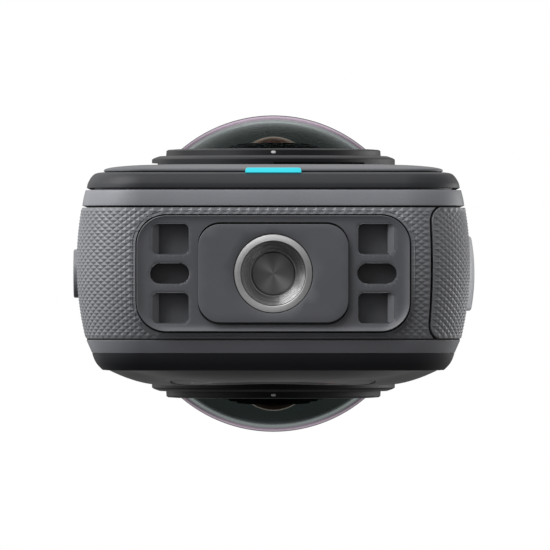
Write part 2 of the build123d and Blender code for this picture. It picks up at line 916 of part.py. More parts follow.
def make_battery_cap():
    cap = skin_ring(grip_depth) & door_prism(0)
    low = bay_bottom + pack_gap
    high = bay_top - pack_gap
    half_y = bay_half_y - pack_gap
    middle = (low + high) / 2
    cap += side_prism(half_y, (high - low) / 2, plug_fillet, middle, -side_seat - close_gap, -plug_end_x())
    groove = side_prism(half_y + overrun, (high - low) / 2 + overrun, plug_fillet, middle,
                        -seal_outer_x(), -seal_outer_x() + battery_seal_width)
    core = side_prism(half_y - battery_seal_groove, (high - low) / 2 - battery_seal_groove, plug_fillet,
                      middle, -seal_outer_x() - overrun, -seal_outer_x() + overrun)
    cap -= groove - core
    middle_latch = latch_bottom + (latch_height - latch_travel) / 2
    half_z = (latch_height + latch_travel) / 2 + slide_gap
    cap -= side_prism(latch_half_y + slide_gap, half_z, latch_corner_r + slide_gap, middle_latch,
                      -body_half_width - overrun, -body_half_width + latch_sink + slide_gap)
    return cap


def seal_outer_x():
    return body_half_width - frame_outer - close_gap * 4


def make_battery_seal():
    low = bay_bottom + pack_gap
    high = bay_top - pack_gap
    middle = (low + high) / 2
    half_z = (high - low) / 2
    half_y = bay_half_y - pack_gap
    start = -seal_outer_x() + close_gap
    end = -seal_outer_x() + battery_seal_width - close_gap
    over = pack_gap - slide_gap
    outer = side_prism(half_y + over, half_z + over, plug_fillet, middle, start, end)
    depth = battery_seal_groove - close_gap
    inner = side_prism(half_y - depth, half_z - depth, plug_fillet, middle, start - overrun, end + overrun)
    return outer - inner


def make_battery_pack():
    low = bay_bottom + pack_gap
    high = bay_top - pack_gap
    half_y = bay_half_y - pack_gap
    start = -plug_end_x()
    end = bay_end_x - pack_gap
    pack = side_prism(half_y, (high - low) / 2, plug_fillet, (low + high) / 2, start, end)
    pad_half = contact_pad_side / 2
    for step in range(contact_pad_count):
        z = contact_height + contact_pad_pitch * (step - (contact_pad_count - 1) / 2)
        low_z = z - pad_half
        pack -= block(end - contact_pad_depth, end + overrun, -pad_half, pad_half, low_z, z + pad_half)
    return pack


def make_battery_latch():
    """A barrel-curved finger slide that stands proud of the cap."""
    reach = body_half_width + latch_proud
    middle = latch_bottom + latch_height / 2
    shape = side_prism(latch_half_y, latch_height / 2, latch_corner_r, middle, -reach,
                       -body_half_width + latch_sink)
    crown = body_half_width + latch_proud
    return shape & Pos(0, 0, middle) * Cylinder(crown, latch_height + overrun)


def make_battery_contacts():
    start = bay_end_x + tray_wall + close_gap
    half_z = contact_pad_pitch * contact_pad_count / 2 - slide_gap
    shape = block(start, start + contact_block_depth, -contact_pad_side - tray_wall,
                  contact_pad_side + tray_wall, contact_height - half_z, contact_height + half_z)
    pin_r = contact_pad_side / 4
    for step in range(contact_pad_count):
        z = contact_height + contact_pad_pitch * (step - (contact_pad_count - 1) / 2)
        shape += round_x(pin_r, bay_end_x - pack_gap + slide_gap, start + close_gap, 0, z)
    return shape


def make_memory_card():
    start = bay_end_x + tray_wall / 4
    card = block(start, start + card_length, card_y - card_depth / 2, card_y + card_depth / 2,
                 card_z, card_z + card_width)
    return card


def make_card_socket():
    start = bay_end_x + tray_wall + close_gap
    end = bay_end_x + tray_wall / 4 + card_length - socket_wall
    half_y = card_depth / 2 + socket_wall * 1.5
    shell = block(start, end, card_y - half_y, card_y + half_y,
                  card_z - 2 * socket_wall, card_z + card_width + 2 * socket_wall)
    gap = slide_gap / 2
    return shell - block(start - overrun, end + overrun, card_y - card_depth / 2 - gap,
                         card_y + card_depth / 2 + gap, card_z - gap, card_z + card_width + gap)


def make_usb_door():
    reach = body_half_width + overrun
    plate = usb_door_shape(0, -reach, -body_half_width + usb_door_depth)
    plate -= block(-reach, 0, -reach, reach, 0, pin_z)
    knuckle = round_along_y(usb_knuckle_r, usb_half_y, -pin_x, pin_z)
    door = (plate + knuckle) & skin_ring(frame_inner)
    return door - round_along_y(usb_pin_r + close_gap, pin_reach(), -pin_x, pin_z)


def make_usb_door_pin():
    return round_along_y(usb_pin_r, pin_reach() - close_gap, -pin_x, pin_z)


def make_usb_seal():
    start = -body_half_width + usb_door_depth
    end = start + usb_seal_depth
    outer = side_prism(usb_seal_half_y, usb_seal_half_z, usb_corner_r, usb_port_z, start, end)
    inner = side_prism(usb_seal_half_y - usb_seal_width, usb_seal_half_z - usb_seal_width, usb_corner_r / 2,
                       usb_port_z, start - overrun, start + overrun)
    return outer - inner


def make_usb_port():
    start = -body_half_width + frame_outer + usb_relief_depth
    end = start + usb_port_depth
    shell = side_prism(usb_port_half_y, usb_port_half_z, usb_port_half_y, usb_port_z, start, end)
    half_y = usb_port_half_y - usb_port_wall
    half_z = usb_port_half_z - usb_port_wall
    shell -= side_prism(half_y, half_z, half_y, usb_port_z, start - overrun, end - usb_port_wall * 2)
    tongue = block(start + usb_port_wall * 2, end - usb_port_wall, -usb_tongue / 2, usb_tongue / 2,
                   usb_port_z - half_z * usb_tongue_share, usb_port_z + half_z * usb_tongue_share)
    flange = side_prism(usb_port_half_y + usb_tongue, usb_port_half_z + usb_tongue, usb_port_half_y,
                        usb_port_z, -side_inner + close_gap, -side_inner + usb_tongue)
    flange -= side_prism(usb_port_half_y - close_gap, usb_port_half_z - close_gap, usb_port_half_y,
                         usb_port_z, -side_inner - overrun, -side_inner + overrun)
    return shell + tongue + flange


def make_side_key(middle_z):
    face = body_half_width + key_proud
    key = side_prism(key_half_y, key_half_z, key_half_y, middle_z, key_flange_x() - close_gap, face)
    key += side_key_cut(middle_z, key_flange, key_flange_x() - key_flange_depth, key_flange_x())
    return key


def key_flange_x():
    return key_lip_x() - slide_gap


def make_side_key_board():
    top_x = side_inner - key_board_gap
    low_x = top_x - key_board_depth
    low = quick_key_z - key_half_z - key_board_foot * 2
    high = power_key_z + key_half_z + key_board_foot * 2
    board = block(low_x, top_x, -key_board_half_y, key_board_half_y, low, high)
    for start in (low, high - key_board_foot):
        board += block(low_x, side_inner - close_gap, -key_board_half_y, key_board_half_y,
                       start, start + key_board_foot)
    for z in (power_key_z, quick_key_z):
        board += round_x(key_dome_r, top_x - close_gap, top_x + key_dome_depth, 0, z)
    return board


def make_rear_key(middle_x, half_x, half_z):
    flange_y = rear_floor - slide_gap
    key = face_prism(middle_x, rear_key_z, half_x, half_z, half_z, -rear_key_face, -flange_y + close_gap)
    grow = rear_key_flange
    flange = face_prism(middle_x, rear_key_z, half_x + grow, half_z + grow, half_z + grow, -flange_y,
                        -flange_y + rear_key_flange_depth)
    return key + flange


def rear_board_y():
    return rear_floor - slide_gap - rear_key_flange_depth - rear_key_travel - rear_dome_depth - close_gap


def make_rear_key_board():
    near = -rear_board_y()
    board = block(-rear_board_half_x, rear_board_half_x, near, near + rear_board_depth,
                  rear_key_z - rear_board_half_z, rear_key_z + rear_board_half_z)
    for x in (-shutter_x, lens_key_x):
        board += round_y(key_dome_r, near - rear_dome_depth, near + close_gap, x, rear_key_z)
    edge = rear_board_half_x - rear_board_post_r
    for x in (-edge, edge):
        board += round_y(rear_board_post_r, -rear_floor + close_gap, near + close_gap, x, rear_key_z)
    return board


def make_speaker():
    end = side_inner - close_gap
    speaker = block(end - speaker_depth, end, -speaker_half_y, speaker_half_y,
                    speaker_bottom, speaker_bottom + speaker_height)
    half = speaker_height / 2
    middle = speaker_bottom + half
    return speaker - side_prism(speaker_half_y - tray_wall, half - tray_wall, square_corner_r, middle,
                                end - tray_wall, end + overrun)


def make_microphones():
    cans = []
    top = body_height - frame_inner - close_gap
    for x in mic_places():
        cans.append(block(x - mic_half, x + mic_half, -mic_half, mic_half, top - mic_depth, top))
    return Compound(children=cans)


def make_mic_meshes():
    discs = []
    for x in mic_places():
        discs.append(round_z(mic_mesh_r, mic_mesh_low(), mic_mesh_low() + mic_mesh_depth, x))
    return Compound(children=discs)


def make_antenna():
    top = body_height - frame_inner - close_gap
    return block(-antenna_half_x, antenna_half_x, -antenna_half_y, antenna_half_y, top - antenna_depth, top)


def make_lens_carrier():
    half = carrier_depth / 2
    plate = slab(frame_inner + close_gap, -half, half)
    plate -= block(-body_half_width, body_half_width, -overrun, overrun, -overrun, carrier_bottom)
    window = carrier_window / 2
    plate -= face_prism(0, lens_height, window, window, square_corner_r, -overrun, overrun)
    for x, z in ((-post_top_x, post_top_z), (post_top_x, post_top_z)):
        plate -= round_y(post_top_foot_r + close_gap, -overrun, overrun, x, z)
    mic_low = body_height - frame_inner - mic_depth - close_gap * 2
    mic_side = mic_x + mic_half + close_gap
    plate -= block(-mic_side, mic_side, -overrun, overrun, mic_low, body_height)
    edge = side_inner - key_board_gap - key_board_depth - close_gap
    board_high = power_key_z + key_half_z + key_board_foot * 2 + close_gap
    plate -= block(edge, body_half_width, -overrun, overrun, 0, board_high)
    return plate


def make_sensor_board(side):
    near = carrier_depth / 2 + close_gap
    half = sensor_board_half
    board = face_prism(0, lens_height, half, half, square_corner_r, near, near + sensor_board_depth)
    return turned(board, side)


def turned(shape, side):
    """The rear lens is the front one turned half round about the long axis."""
    if side > 0:
        return shape
    return Rot(0, 0, 180) * shape


def sensor_near():
    return carrier_depth / 2 + close_gap * 2 + sensor_board_depth


def make_image_sensor(side):
    near = sensor_near()
    far = near + sensor_depth
    chip = face_prism(0, lens_height, sensor_half_x, sensor_half_z, square_corner_r, near, far)
    return turned(chip, side)


def barrel_near():
    return sensor_near() + sensor_depth + close_gap


def lens_base(side):
    """The depth that a lens stands on: its side's face, less the sink of the rear one."""
    if side > 0:
        return front_face
    return rear_face - rear_lens_sink


def disc_far(side):
    return lens_base(side) + lens_disc_height


def rim_far(side):
    return disc_far(side) + lens_rim_height


def dome_centre(side):
    return rim_far(side) + dome_height - dome_r


def glass_foot(side):
    return rim_far(side) - glass_foot_depth


def make_lens_barrel(side):
    near = barrel_near()
    shoulder = rim_far(side) - barrel_shoulder_drop
    barrel = round_y(barrel_foot_r, near, near + barrel_foot_height, 0, lens_height)
    barrel += round_y(barrel_body_r, near, shoulder, 0, lens_height)
    barrel += round_y(barrel_head_r, lens_base(side) - barrel_head_depth, shoulder, 0, lens_height)
    cone = Cone(barrel_head_r - loose_gap, barrel_cone_r + loose_gap, barrel_cone_height)
    barrel += Pos(0, shoulder + barrel_cone_height / 2, lens_height) * Rot(-90, 0, 0) * cone
    barrel -= round_y(barrel_bore_r, near - overrun, shoulder - barrel_foot_height, 0, lens_height)
    barrel -= Pos(0, element_centre(side), lens_height) * Sphere(element_r + close_gap)
    return turned(barrel, side)


def element_centre(side):
    return rim_far(side) + element_rise - element_r


def make_inner_element(side):
    centre = element_centre(side)
    ball = Pos(0, centre, lens_height) * Sphere(element_r)
    keep = round_y(element_r + overrun, centre - element_r / 2, centre + element_r + overrun, 0, lens_height)
    return turned(ball & keep, side)


def sector(radius, y0, y1, start, sweep_angle):
    """A slice of a disc in the XZ plane about the lens axis, by its angles."""
    with BuildSketch(Plane.XZ) as section:
        with BuildLine():
            first = CenterArc((0, 0), radius, start, sweep_angle)
            Line((0, 0), first @ 0)
            Line(first @ 1, (0, 0))
        make_face()
    return Pos(0, y1, lens_height) * extrude(section.sketch, amount=y1 - y0, dir=(0, -1, 0))


def dome_cut(side):
    """The dome's ball with its clearance, kept only within the rim of the glass and above its foot."""
    ball = Pos(0, dome_centre(side), lens_height) * Sphere(dome_r + close_gap)
    far = rim_far(side) + dome_height + overrun
    return ball & round_y(glass_edge_r + close_gap, glass_foot(side), far, 0, lens_height)


def make_lens_ring(side):
    near = lens_base(side) + lens_disc_gap
    low = near - close_gap
    high = disc_far(side) - lens_disc_step
    twist_ring = round_y(lens_disc_r, near, disc_far(side), 0, lens_height)
    twist_ring += round_y(lens_rim_r, near, rim_far(side), 0, lens_height)
    for step in range(lens_cut_count):
        start = lens_cut_middle - lens_cut_angle / 2 + step * 360 / lens_cut_count
        cut = sector(lens_disc_r + overrun, low, high, start, lens_cut_angle)
        cut -= round_y(lens_disc_r - lens_cut_width, low - overrun, high + overrun, 0, lens_height)
        twist_ring -= cut
    neck_near = lens_base(side) - lens_neck_depth
    twist_ring += round_y(lens_neck_r, neck_near, near + close_gap, 0, lens_height)
    for step in range(lug_count):
        start = lens_cut_middle - lug_angle / 2 + step * 360 / lug_count
        twist_ring += sector(lug_r, neck_near, neck_near + lug_height, start, lug_angle)
    twist_ring -= round_y(lens_neck_r - lens_neck_wall, 0, near + overrun, 0, lens_height)
    lip = rim_far(side) - glass_lip
    twist_ring -= round_y(glass_edge_r + close_gap, seal_near(side), lip, 0, lens_height)
    return turned(twist_ring - dome_cut(side), side)


def seal_near(side):
    return glass_foot(side) - seal_height - close_gap * 2


def make_lens_seal(side):
    near = seal_near(side) + close_gap
    seal_r = glass_edge_r - close_gap
    seal = round_y(seal_r, near, near + seal_height, 0, lens_height)
    seal -= round_y(seal_r - seal_width, near - overrun, near + overrun, 0, lens_height)
    return turned(seal, side)


def make_dome_glass(side):
    centre = dome_centre(side)
    ball = Pos(0, centre, lens_height) * Sphere(dome_r)
    glass = ball & round_y(glass_edge_r, glass_foot(side), centre + dome_r + overrun, 0, lens_height)
    glass -= Pos(0, centre, lens_height) * Sphere(dome_r - dome_wall)
    return turned(glass, side)


def make_lens_mount(side):
    far = lens_base(side) - close_gap
    cover_far = front_cover_far if side > 0 else rear_cover_far
    mount = round_y(mount_flange_r, cover_far + close_gap, far, 0, lens_height)
    mount += round_y(mount_neck_r, lens_base(side) - mount_depth, far, 0, lens_height)
    mount -= round_y(lens_neck_r + close_gap, 0, far + overrun, 0, lens_height)
    mount -= round_y(mount_pocket_r, 0, far - mount_ledge, 0, lens_height)
    return turned(mount, side)


def make_cover_screws():
    screws = []
    for x, z in posts():
        for side in (1, -1):
            far = front_cover_far if side > 0 else rear_cover_far
            top = side * (far - close_gap)
            seat = side * (far - screw_head_depth)
            tip = side * (far - screw_length)
            head = round_y(screw_head_r, min(top, seat), max(top, seat), x, z)
            shank = round_y(screw_r, min(seat, tip), max(seat, tip), x, z)
            socket = side * (far - close_gap - screw_socket_depth)
            bore = round_y(screw_socket_r, min(socket, socket + side * overrun),
                           max(socket, socket + side * overrun), x, z)
            screws.append(head + shank - bore)
    return Compound(children=screws)


def build_nodes():
    nodes = {
        "mid_frame": make_mid_frame(),
        "battery_tray": make_battery_tray(),
        "grip_band": make_grip_band(),
        "front_gasket": seam_gasket(1, grip_front),
        "rear_gasket": seam_gasket(-1, grip_rear),
        "front_trim": make_trim(1, front_trim_near, front_trim_far, front_trim_near_inset,
                                front_trim_far_inset, close_gap),
        "rear_trim": make_trim(-1, rear_trim_near, rear_trim_far, rear_trim_near_inset,
                               rear_trim_far_inset, close_gap),
        "front_cover": make_front_cover(),
        "rear_cover": make_rear_cover(),
        "front_panel": make_front_panel(),
        "rear_panel": make_rear_panel(),
        "status_light": make_status_light(),
        "screen_glass": make_screen_glass(),
        "display_module": make_display_module(),
        "heat_spreader": make_heat_spreader(),
        "main_board": make_main_board(),
        "board_shields": make_board_shields(),
        "base_plate": make_base_plate(),
        "tripod_pad": make_tripod_pad(),
        "tripod_bush": make_tripod_bush(),
        "battery_cap": make_battery_cap(),
        "battery_seal": make_battery_seal(),
        "battery_pack": make_battery_pack(),
        "battery_latch": make_battery_latch(),
        "battery_contacts": make_battery_contacts(),
        "memory_card": make_memory_card(),
        "card_socket": make_card_socket(),
        "usb_door": make_usb_door(),
        "usb_door_pin": make_usb_door_pin(),
        "usb_seal": make_usb_seal(),
        "usb_port": make_usb_port(),
        "power_button": make_side_key(power_key_z),
        "quick_button": make_side_key(quick_key_z),
        "side_key_board": make_side_key_board(),
        "shutter_button": make_rear_key(-shutter_x, shutter_half_x, shutter_half_z),
        "lens_button": make_rear_key(lens_key_x, lens_key_half, lens_key_half),
        "rear_key_board": make_rear_key_board(),
        "speaker": make_speaker(),
        "microphones": make_microphones(),
        "mic_meshes": make_mic_meshes(),
        "antenna": make_antenna(),
        "lens_carrier": make_lens_carrier(),
        "cover_screws": make_cover_screws(),
    }
    for name, side in (("front", 1), ("rear", -1)):
        nodes[name + "_lens_mount"] = make_lens_mount(side)
        nodes[name + "_lens_ring"] = make_lens_ring(side)
        nodes[name + "_lens_seal"] = make_lens_seal(side)
        nodes[name + "_dome_glass"] = make_dome_glass(side)
        nodes[name + "_lens_barrel"] = make_lens_barrel(side)
        nodes[name + "_inner_element"] = make_inner_element(side)
        nodes[name + "_image_sensor"] = make_image_sensor(side)
        nodes[name + "_sensor_board"] = make_sensor_board(side)
    return nodes


os.makedirs("parts", exist_ok=True)
for node_name, node_shape in build_nodes().items():
    export_step(node_shape, "parts/" + node_name + ".step")
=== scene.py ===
import logging
import math
from dataclasses import dataclass, replace
from enum import Enum
from typing import Callable

import bpy
import numpy as np
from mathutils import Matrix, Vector, geometry


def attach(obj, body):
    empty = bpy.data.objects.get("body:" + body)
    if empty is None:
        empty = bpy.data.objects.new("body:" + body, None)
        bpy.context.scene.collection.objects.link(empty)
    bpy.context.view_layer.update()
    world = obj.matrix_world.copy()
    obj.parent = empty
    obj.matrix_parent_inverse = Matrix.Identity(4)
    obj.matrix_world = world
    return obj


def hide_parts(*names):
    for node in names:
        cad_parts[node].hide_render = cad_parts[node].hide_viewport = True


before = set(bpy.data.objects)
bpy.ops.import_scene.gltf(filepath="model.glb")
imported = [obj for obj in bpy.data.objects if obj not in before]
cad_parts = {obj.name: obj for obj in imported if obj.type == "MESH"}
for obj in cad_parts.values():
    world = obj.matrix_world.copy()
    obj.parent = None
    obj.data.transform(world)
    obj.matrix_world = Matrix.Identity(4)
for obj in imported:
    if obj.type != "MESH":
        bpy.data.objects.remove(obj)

LOG = logging.getLogger("camera_360")
MM = 0.001
Array = np.ndarray
Pair = tuple[float, float]
Triple = tuple[float, float, float]
Colour = tuple[float, float, float, float]
Height = Callable[[Array, Array], Array]


# ---------------------------------------------------------------- shader expressions


class Sock:
    """A shader socket on which Python's operators add Math nodes."""

    def __init__(self, graph: "Graph", socket: bpy.types.NodeSocket) -> None:
        """Keeps the socket and the graph that it belongs to."""
        self.graph = graph
        self.socket = socket

    def _math(self, operation: str, first: object, second: object = 0.0) -> "Sock":
        """Adds one Math node for two values or sockets."""
        return self.graph.add("ShaderNodeMath", {"operation": operation}, {0: first, 1: second})

    def __add__(self, other: object) -> "Sock":
        """Sum."""
        return self._math("ADD", self, other)

    __radd__ = __add__

    def __sub__(self, other: object) -> "Sock":
        """Difference."""
        return self._math("SUBTRACT", self, other)

    def __rsub__(self, other: object) -> "Sock":
        """Difference from a number."""
        return self._math("SUBTRACT", other, self)

    def __mul__(self, other: object) -> "Sock":
        """Product."""
        return self._math("MULTIPLY", self, other)

    __rmul__ = __mul__

    def power(self, exponent: float) -> "Sock":
        """The value to a power."""
        return self._math("POWER", self, exponent)

    def sine(self) -> "Sock":
        """The sine of the value, in radians."""
        return self._math("SINE", self)

    def absolute(self) -> "Sock":
        """The value without its sign."""
        return self._math("ABSOLUTE", self)

    def ramp(self, low: float, high: float, start: float = 0.0, end: float = 1.0) -> "Sock":
        """A smooth, clamped step from start to end as the value goes from low to high."""
        values = {"Value": self, "From Min": low, "From Max": high, "To Min": start, "To Max": end}
        return self.graph.add("ShaderNodeMapRange", {"interpolation_type": "SMOOTHSTEP"}, values)


class Graph:
    """The node tree of a material or of the world."""

    def __init__(self, tree: bpy.types.NodeTree) -> None:
        """Empties the tree."""
        self.tree = tree
        tree.nodes.clear()

    def add(self, kind: str, settings: dict | None = None, values: dict | None = None,
            out: object = 0) -> Sock:
        """Adds one node.

        Args:
            kind: the node's type.
            settings: the node's own settings; "stops" is a ramp's list of (position, colour).
            values: numbers, colours or sockets by input name or index.
            out: the output that is returned, by name or index.

        Returns:
            The chosen output, or the first input of a node that has no outputs.
        """
        node = self.tree.nodes.new(kind)
        for key, value in (settings or {}).items():
            if key == "stops":
                elements = node.color_ramp.elements
                while len(elements) < len(value):
                    elements.new(0.5)
                for element, (position, colour) in zip(elements, value):
                    element.position = position
                    element.color = (*colour, 1.0)
            else:
                setattr(node, key, value)
        for key, value in (values or {}).items():
            if isinstance(value, Sock):
                self.tree.links.new(value.socket, node.inputs[key])
            else:
                node.inputs[key].default_value = value
        return Sock(self, node.outputs[out] if len(node.outputs) else node.inputs[0])

    def place(self) -> Sock:
        """Object coordinates, which are the frame's own metres."""
        return self.add("ShaderNodeTexCoord", out="Object")

    def parts(self, vector: Sock) -> tuple[Sock, Sock, Sock]:
        """The X, Y and Z of a vector."""
        first = self.add("ShaderNodeSeparateXYZ", {}, {0: vector})
        outputs = first.socket.node.outputs
        return first, Sock(self, outputs[1]), Sock(self, outputs[2])

    def noise(self, vector: Sock, size: float, detail: float = 2.0, rough: float = 0.5) -> Sock:
        """Noise from 0 to 1 whose blobs are about size metres wide."""
        values = {"Vector": vector, "Scale": 1.0 / size, "Detail": detail, "Roughness": rough}
        return self.add("ShaderNodeTexNoise", {}, values)

    def mix(self, share: object, first: object, second: object) -> Sock:
        """Two colours mixed by a share."""
        return self.add("ShaderNodeMix", {"data_type": "RGBA"}, {0: share, 6: first, 7: second}, out=2)

    def tinted(self, colour: Triple, low: float, high: float, share: Sock) -> Sock:
        """A colour whose brightness goes from low to high times itself."""
        return self.mix(share, opaque(colour, low), opaque(colour, high))

    def bump(self, height: Sock, depth: float) -> Sock:
        """A bumped normal from a height of 0 to 1 that is depth metres high."""
        return self.add("ShaderNodeBump", {}, {"Strength": 1.0, "Distance": depth, "Height": height})

    def principled(self, values: dict) -> Sock:
        """A Principled shader with these values."""
        return self.add("ShaderNodeBsdfPrincipled", {}, values)

    def surface(self, shader: Sock, kind: str = "ShaderNodeOutputMaterial") -> None:
        """Links a shader to the tree's output."""
        self.add(kind, {}, {"Surface": shader})


def linear(colour: Triple) -> Triple:
    """An sRGB colour of 0 to 255 as linear light."""
    shares = [c / 255.0 for c in colour]
    return tuple(c / 12.92 if c <= 0.04045 else ((c + 0.055) / 1.055) ** 2.4 for c in shares)


def opaque(colour: Triple, level: float = 1.0) -> Colour:
    """A linear colour times a level, with full alpha."""
    return (*[c * level for c in colour], 1.0)


def new_graph(name: str) -> tuple[bpy.types.Material, Graph]:
    """A new material and its empty graph."""
    material = bpy.data.materials.new(name)
    material.use_nodes = True
    return material, Graph(material.node_tree)


# ---------------------------------------------------------------- finishes


@dataclass(frozen=True)
class Moulded:
    """Moulded plastic, rubber or paint: a fine grain, slow mottling and an uneven gloss.

    A recess shade (low, high, share), in millimetres, is painted shade: inside a strip along X it darkens the
    colour to share times itself from one height to another, for the shade on the floors of recesses. A mark
    (x, z, inner radius, outer radius, colour), in millimetres, is a printed ring.
    """

    name: str
    colour: Triple
    roughness: float = 0.5
    grain: float = 0.12 * MM
    relief: float = 0.004 * MM
    mottle: float = 0.08
    gloss: float = 0.5
    coat: float = 0.0
    cloud: float = 9 * MM
    grain_share: float = 0.6
    cloud_gloss: float = 0.16
    grain_gloss: float = 0.1
    recess_shade: Triple | None = None
    recess_shade_half: Pair = (1.2, 1.5)
    mark: tuple[float, float, float, float, Triple] | None = None
    mark_edge: float = 0.03

    def material(self) -> bpy.types.Material:
        """The finished material."""
        material, graph = new_graph(self.name)
        place = graph.place()
        fine = graph.noise(place, self.grain, 3.0, 0.6)
        slow = graph.noise(place, self.cloud, 3.0, 0.55)
        share = (fine - 0.5) * self.grain_share + slow
        colour = linear(self.colour)
        base = graph.tinted(colour, 1.0 - self.mottle, 1.0 + self.mottle, share.ramp(0.2, 0.8))
        # Painted shade: the colour darkens with depth inside a strip along X, standing in for the shade on
        # the recesses' floors.
        if self.recess_shade:
            _, y, z = graph.parts(place)
            low, high, left = self.recess_shade
            slot = 1.0 - y.absolute().ramp(self.recess_shade_half[0] * MM, self.recess_shade_half[1] * MM)
            depth = z.ramp(low * MM, high * MM) * slot
            base = graph.mix(depth, base, opaque(colour, left))
        if self.mark:
            x, _, z = graph.parts(place)
            cx, cz, near, far, ink = self.mark
            x, z = x - cx * MM, z - cz * MM
            radius = (x * x + z * z).power(0.5)
            beyond = radius.ramp(far * MM, (far + self.mark_edge) * MM)
            ring = radius.ramp((near - self.mark_edge) * MM, near * MM) * (1.0 - beyond)
            base = graph.mix(ring, base, opaque(linear(ink)))
        rough = (slow - 0.5) * self.cloud_gloss + (fine - 0.5) * self.grain_gloss + self.roughness
        graph.surface(graph.principled({
            "Base Color": base,
            "Roughness": rough,
            "Specular IOR Level": self.gloss,
            "Coat Weight": self.coat,
            "Coat Roughness": 0.12,
            "Normal": graph.bump(fine, self.relief),
        }))
        return material


@dataclass(frozen=True)
class Turned:
    """Metal turned on a lathe: fine rings about the Z axis and two pairs of bright sectors, painted
    highlights where brushed metal catches the light.

    The painted sectors show from the height floor_from up, in the bore. Below it the cone is evenly brushed,
    and the flat face beyond the radius lip_r is painted lighter, with a painted highlight that is brighter
    towards one diagonal.
    """

    name: str
    colour: Triple
    roughness: float
    pitch: float
    depth: float
    sunburst_highlight: float = 0.0
    floor_from: float = 4.0 * MM
    floor_blend: float = 0.2 * MM
    lip_r: float = 3.71 * MM
    lip_blend: float = 0.06 * MM
    wander: float = 0.6 * MM

    def material(self) -> bpy.types.Material:
        """The finished material."""
        material, graph = new_graph(self.name)
        place = graph.place()
        x, y, z = graph.parts(place)
        radius = (x * x + y * y).power(0.5)
        rings = (radius * (2 * math.pi / self.pitch)).sine()
        wander = graph.noise(place, self.wander, 4.0, 0.6)
        grit = graph.noise(radius, self.pitch * 0.7, 4.0, 0.7)
        height = rings * 0.3 + grit + wander * 0.2
        angle = graph.add("ShaderNodeMath", {"operation": "ARCTAN2"}, {0: y, 1: x})
        # Painted highlight: two pairs of bright sectors by angle, standing in for the light caught by the
        # brushed metal.
        strong_highlight = ((angle * 2.0).sine() * 0.5 + 0.5).power(5.0)
        weak_highlight = ((angle * 2.0 - 2.6).sine() * 0.5 + 0.5).power(7.0) * 0.55
        inner = z.ramp(self.floor_from, self.floor_from + self.floor_blend)
        streaks = (grit - 0.5) * 0.55 + (wander - 0.5) * 0.2
        lip = radius.ramp(self.lip_r - self.lip_blend, self.lip_r) * (1.0 - inner)
        # Painted highlight on the flat face: lighter overall, and brighter still towards one diagonal.
        across = (angle * 2.0 - math.pi / 2).sine()
        outside = streaks + 0.3 + lip * (across * 0.3 + 0.42)
        share = graph.mix(inner, outside, (strong_highlight + weak_highlight) * self.sunburst_highlight + streaks * 0.3 + 0.4)
        graph.surface(graph.principled({
            "Base Color": graph.tinted(linear(self.colour), 0.25, 1.6, share),
            "Metallic": 1.0,
            "Roughness": (grit - 0.5) * 0.2 + inner * 0.12 + lip * 0.25 + self.roughness,
            "Normal": graph.bump(height, self.depth),
        }))
        return material


@dataclass(frozen=True)
class Metal:
    """Rolled, cast or plated metal, with fine scratches along the axis whose scale is least."""

    name: str
    colour: Triple
    roughness: float = 0.3
    scale: Triple = (1.0, 1.0, 0.08)
    scratch: float = 0.08 * MM
    cloud: float = 3 * MM
    relief: float = 0.002 * MM

    def material(self) -> bpy.types.Material:
        """The finished material."""
        material, graph = new_graph(self.name)
        drawn = graph.add("ShaderNodeMapping", {}, {"Vector": graph.place(), "Scale": self.scale})
        scratches = graph.noise(drawn, self.scratch, 5.0, 0.7)
        slow = graph.noise(graph.place(), self.cloud, 3.0, 0.5)
        share = (scratches * 0.6 + slow * 0.4).ramp(0.25, 0.75)
        graph.surface(graph.principled({
            "Base Color": graph.tinted(linear(self.colour), 0.85, 1.12, share),
            "Metallic": 1.0,
            "Roughness": (scratches - 0.5) * 0.25 + self.roughness,
            "Normal": graph.bump(scratches, self.relief),
        }))
        return material


@dataclass(frozen=True)
class CoatedGlass:
    """Optical glass under an interference coating, which shows as a sheen at a low angle.

    The angle runs from 0, straight on, to 1, along the surface. The film begins at start, rises over the
    first two steps to share, stays there up to the third, and from the fourth on has the rim's share and
    the edge's colour.
    """

    name: str
    body: Triple
    tint: Triple
    sheen: Triple
    edge: Triple
    start: float = 0.73
    share: float = 0.8
    rim: float = 0.85
    clear: float = 1.0
    ior: float = 1.2
    steps: tuple[float, float, float, float] = (0.06, 0.1, 0.15, 0.19)
    dust: float = 0.5 * MM
    haze: float = 0.02

    def material(self) -> bpy.types.Material:
        """The finished material: tinted glass, mixed with a mirror of the coating's colour."""
        material, graph = new_graph(self.name)
        dust = graph.noise(graph.place(), self.dust, 4.0, 0.6)
        rough = (dust - 0.5) * self.haze + self.haze
        sheen, edge = linear(self.sheen), linear(self.edge)
        knee, full, turn, outer = (self.start + step for step in self.steps)
        glass = graph.principled({
            "Base Color": graph.tinted(linear(self.body), 0.97, 1.0, dust),
            "Roughness": rough,
            "IOR": self.ior,
            "Transmission Weight": self.clear,
            "Specular Tint": opaque(linear(self.tint)),
        })
        facing = graph.add("ShaderNodeLayerWeight", {}, {"Blend": 0.5}, out="Facing")
        stops = [(0.0, sheen), (turn, sheen), (outer, edge), (1.0, edge)]
        film = graph.principled({
            "Base Color": graph.add("ShaderNodeValToRGB", {"stops": stops}, {0: facing}),
            "Metallic": 1.0,
            "Roughness": rough,
        })
        levels = [(0.0, 0.0), (self.start, 0.0), (knee, self.share * 0.4), (full, self.share),
                  (turn, self.share), (outer, self.rim), (1.0, self.rim)]
        grey = [(at, (level,) * 3) for at, level in levels]
        share = graph.add("ShaderNodeValToRGB", {"stops": grey}, {0: facing})
        graph.surface(graph.add("ShaderNodeMixShader", {}, {0: share, 1: glass, 2: film}))
        return material


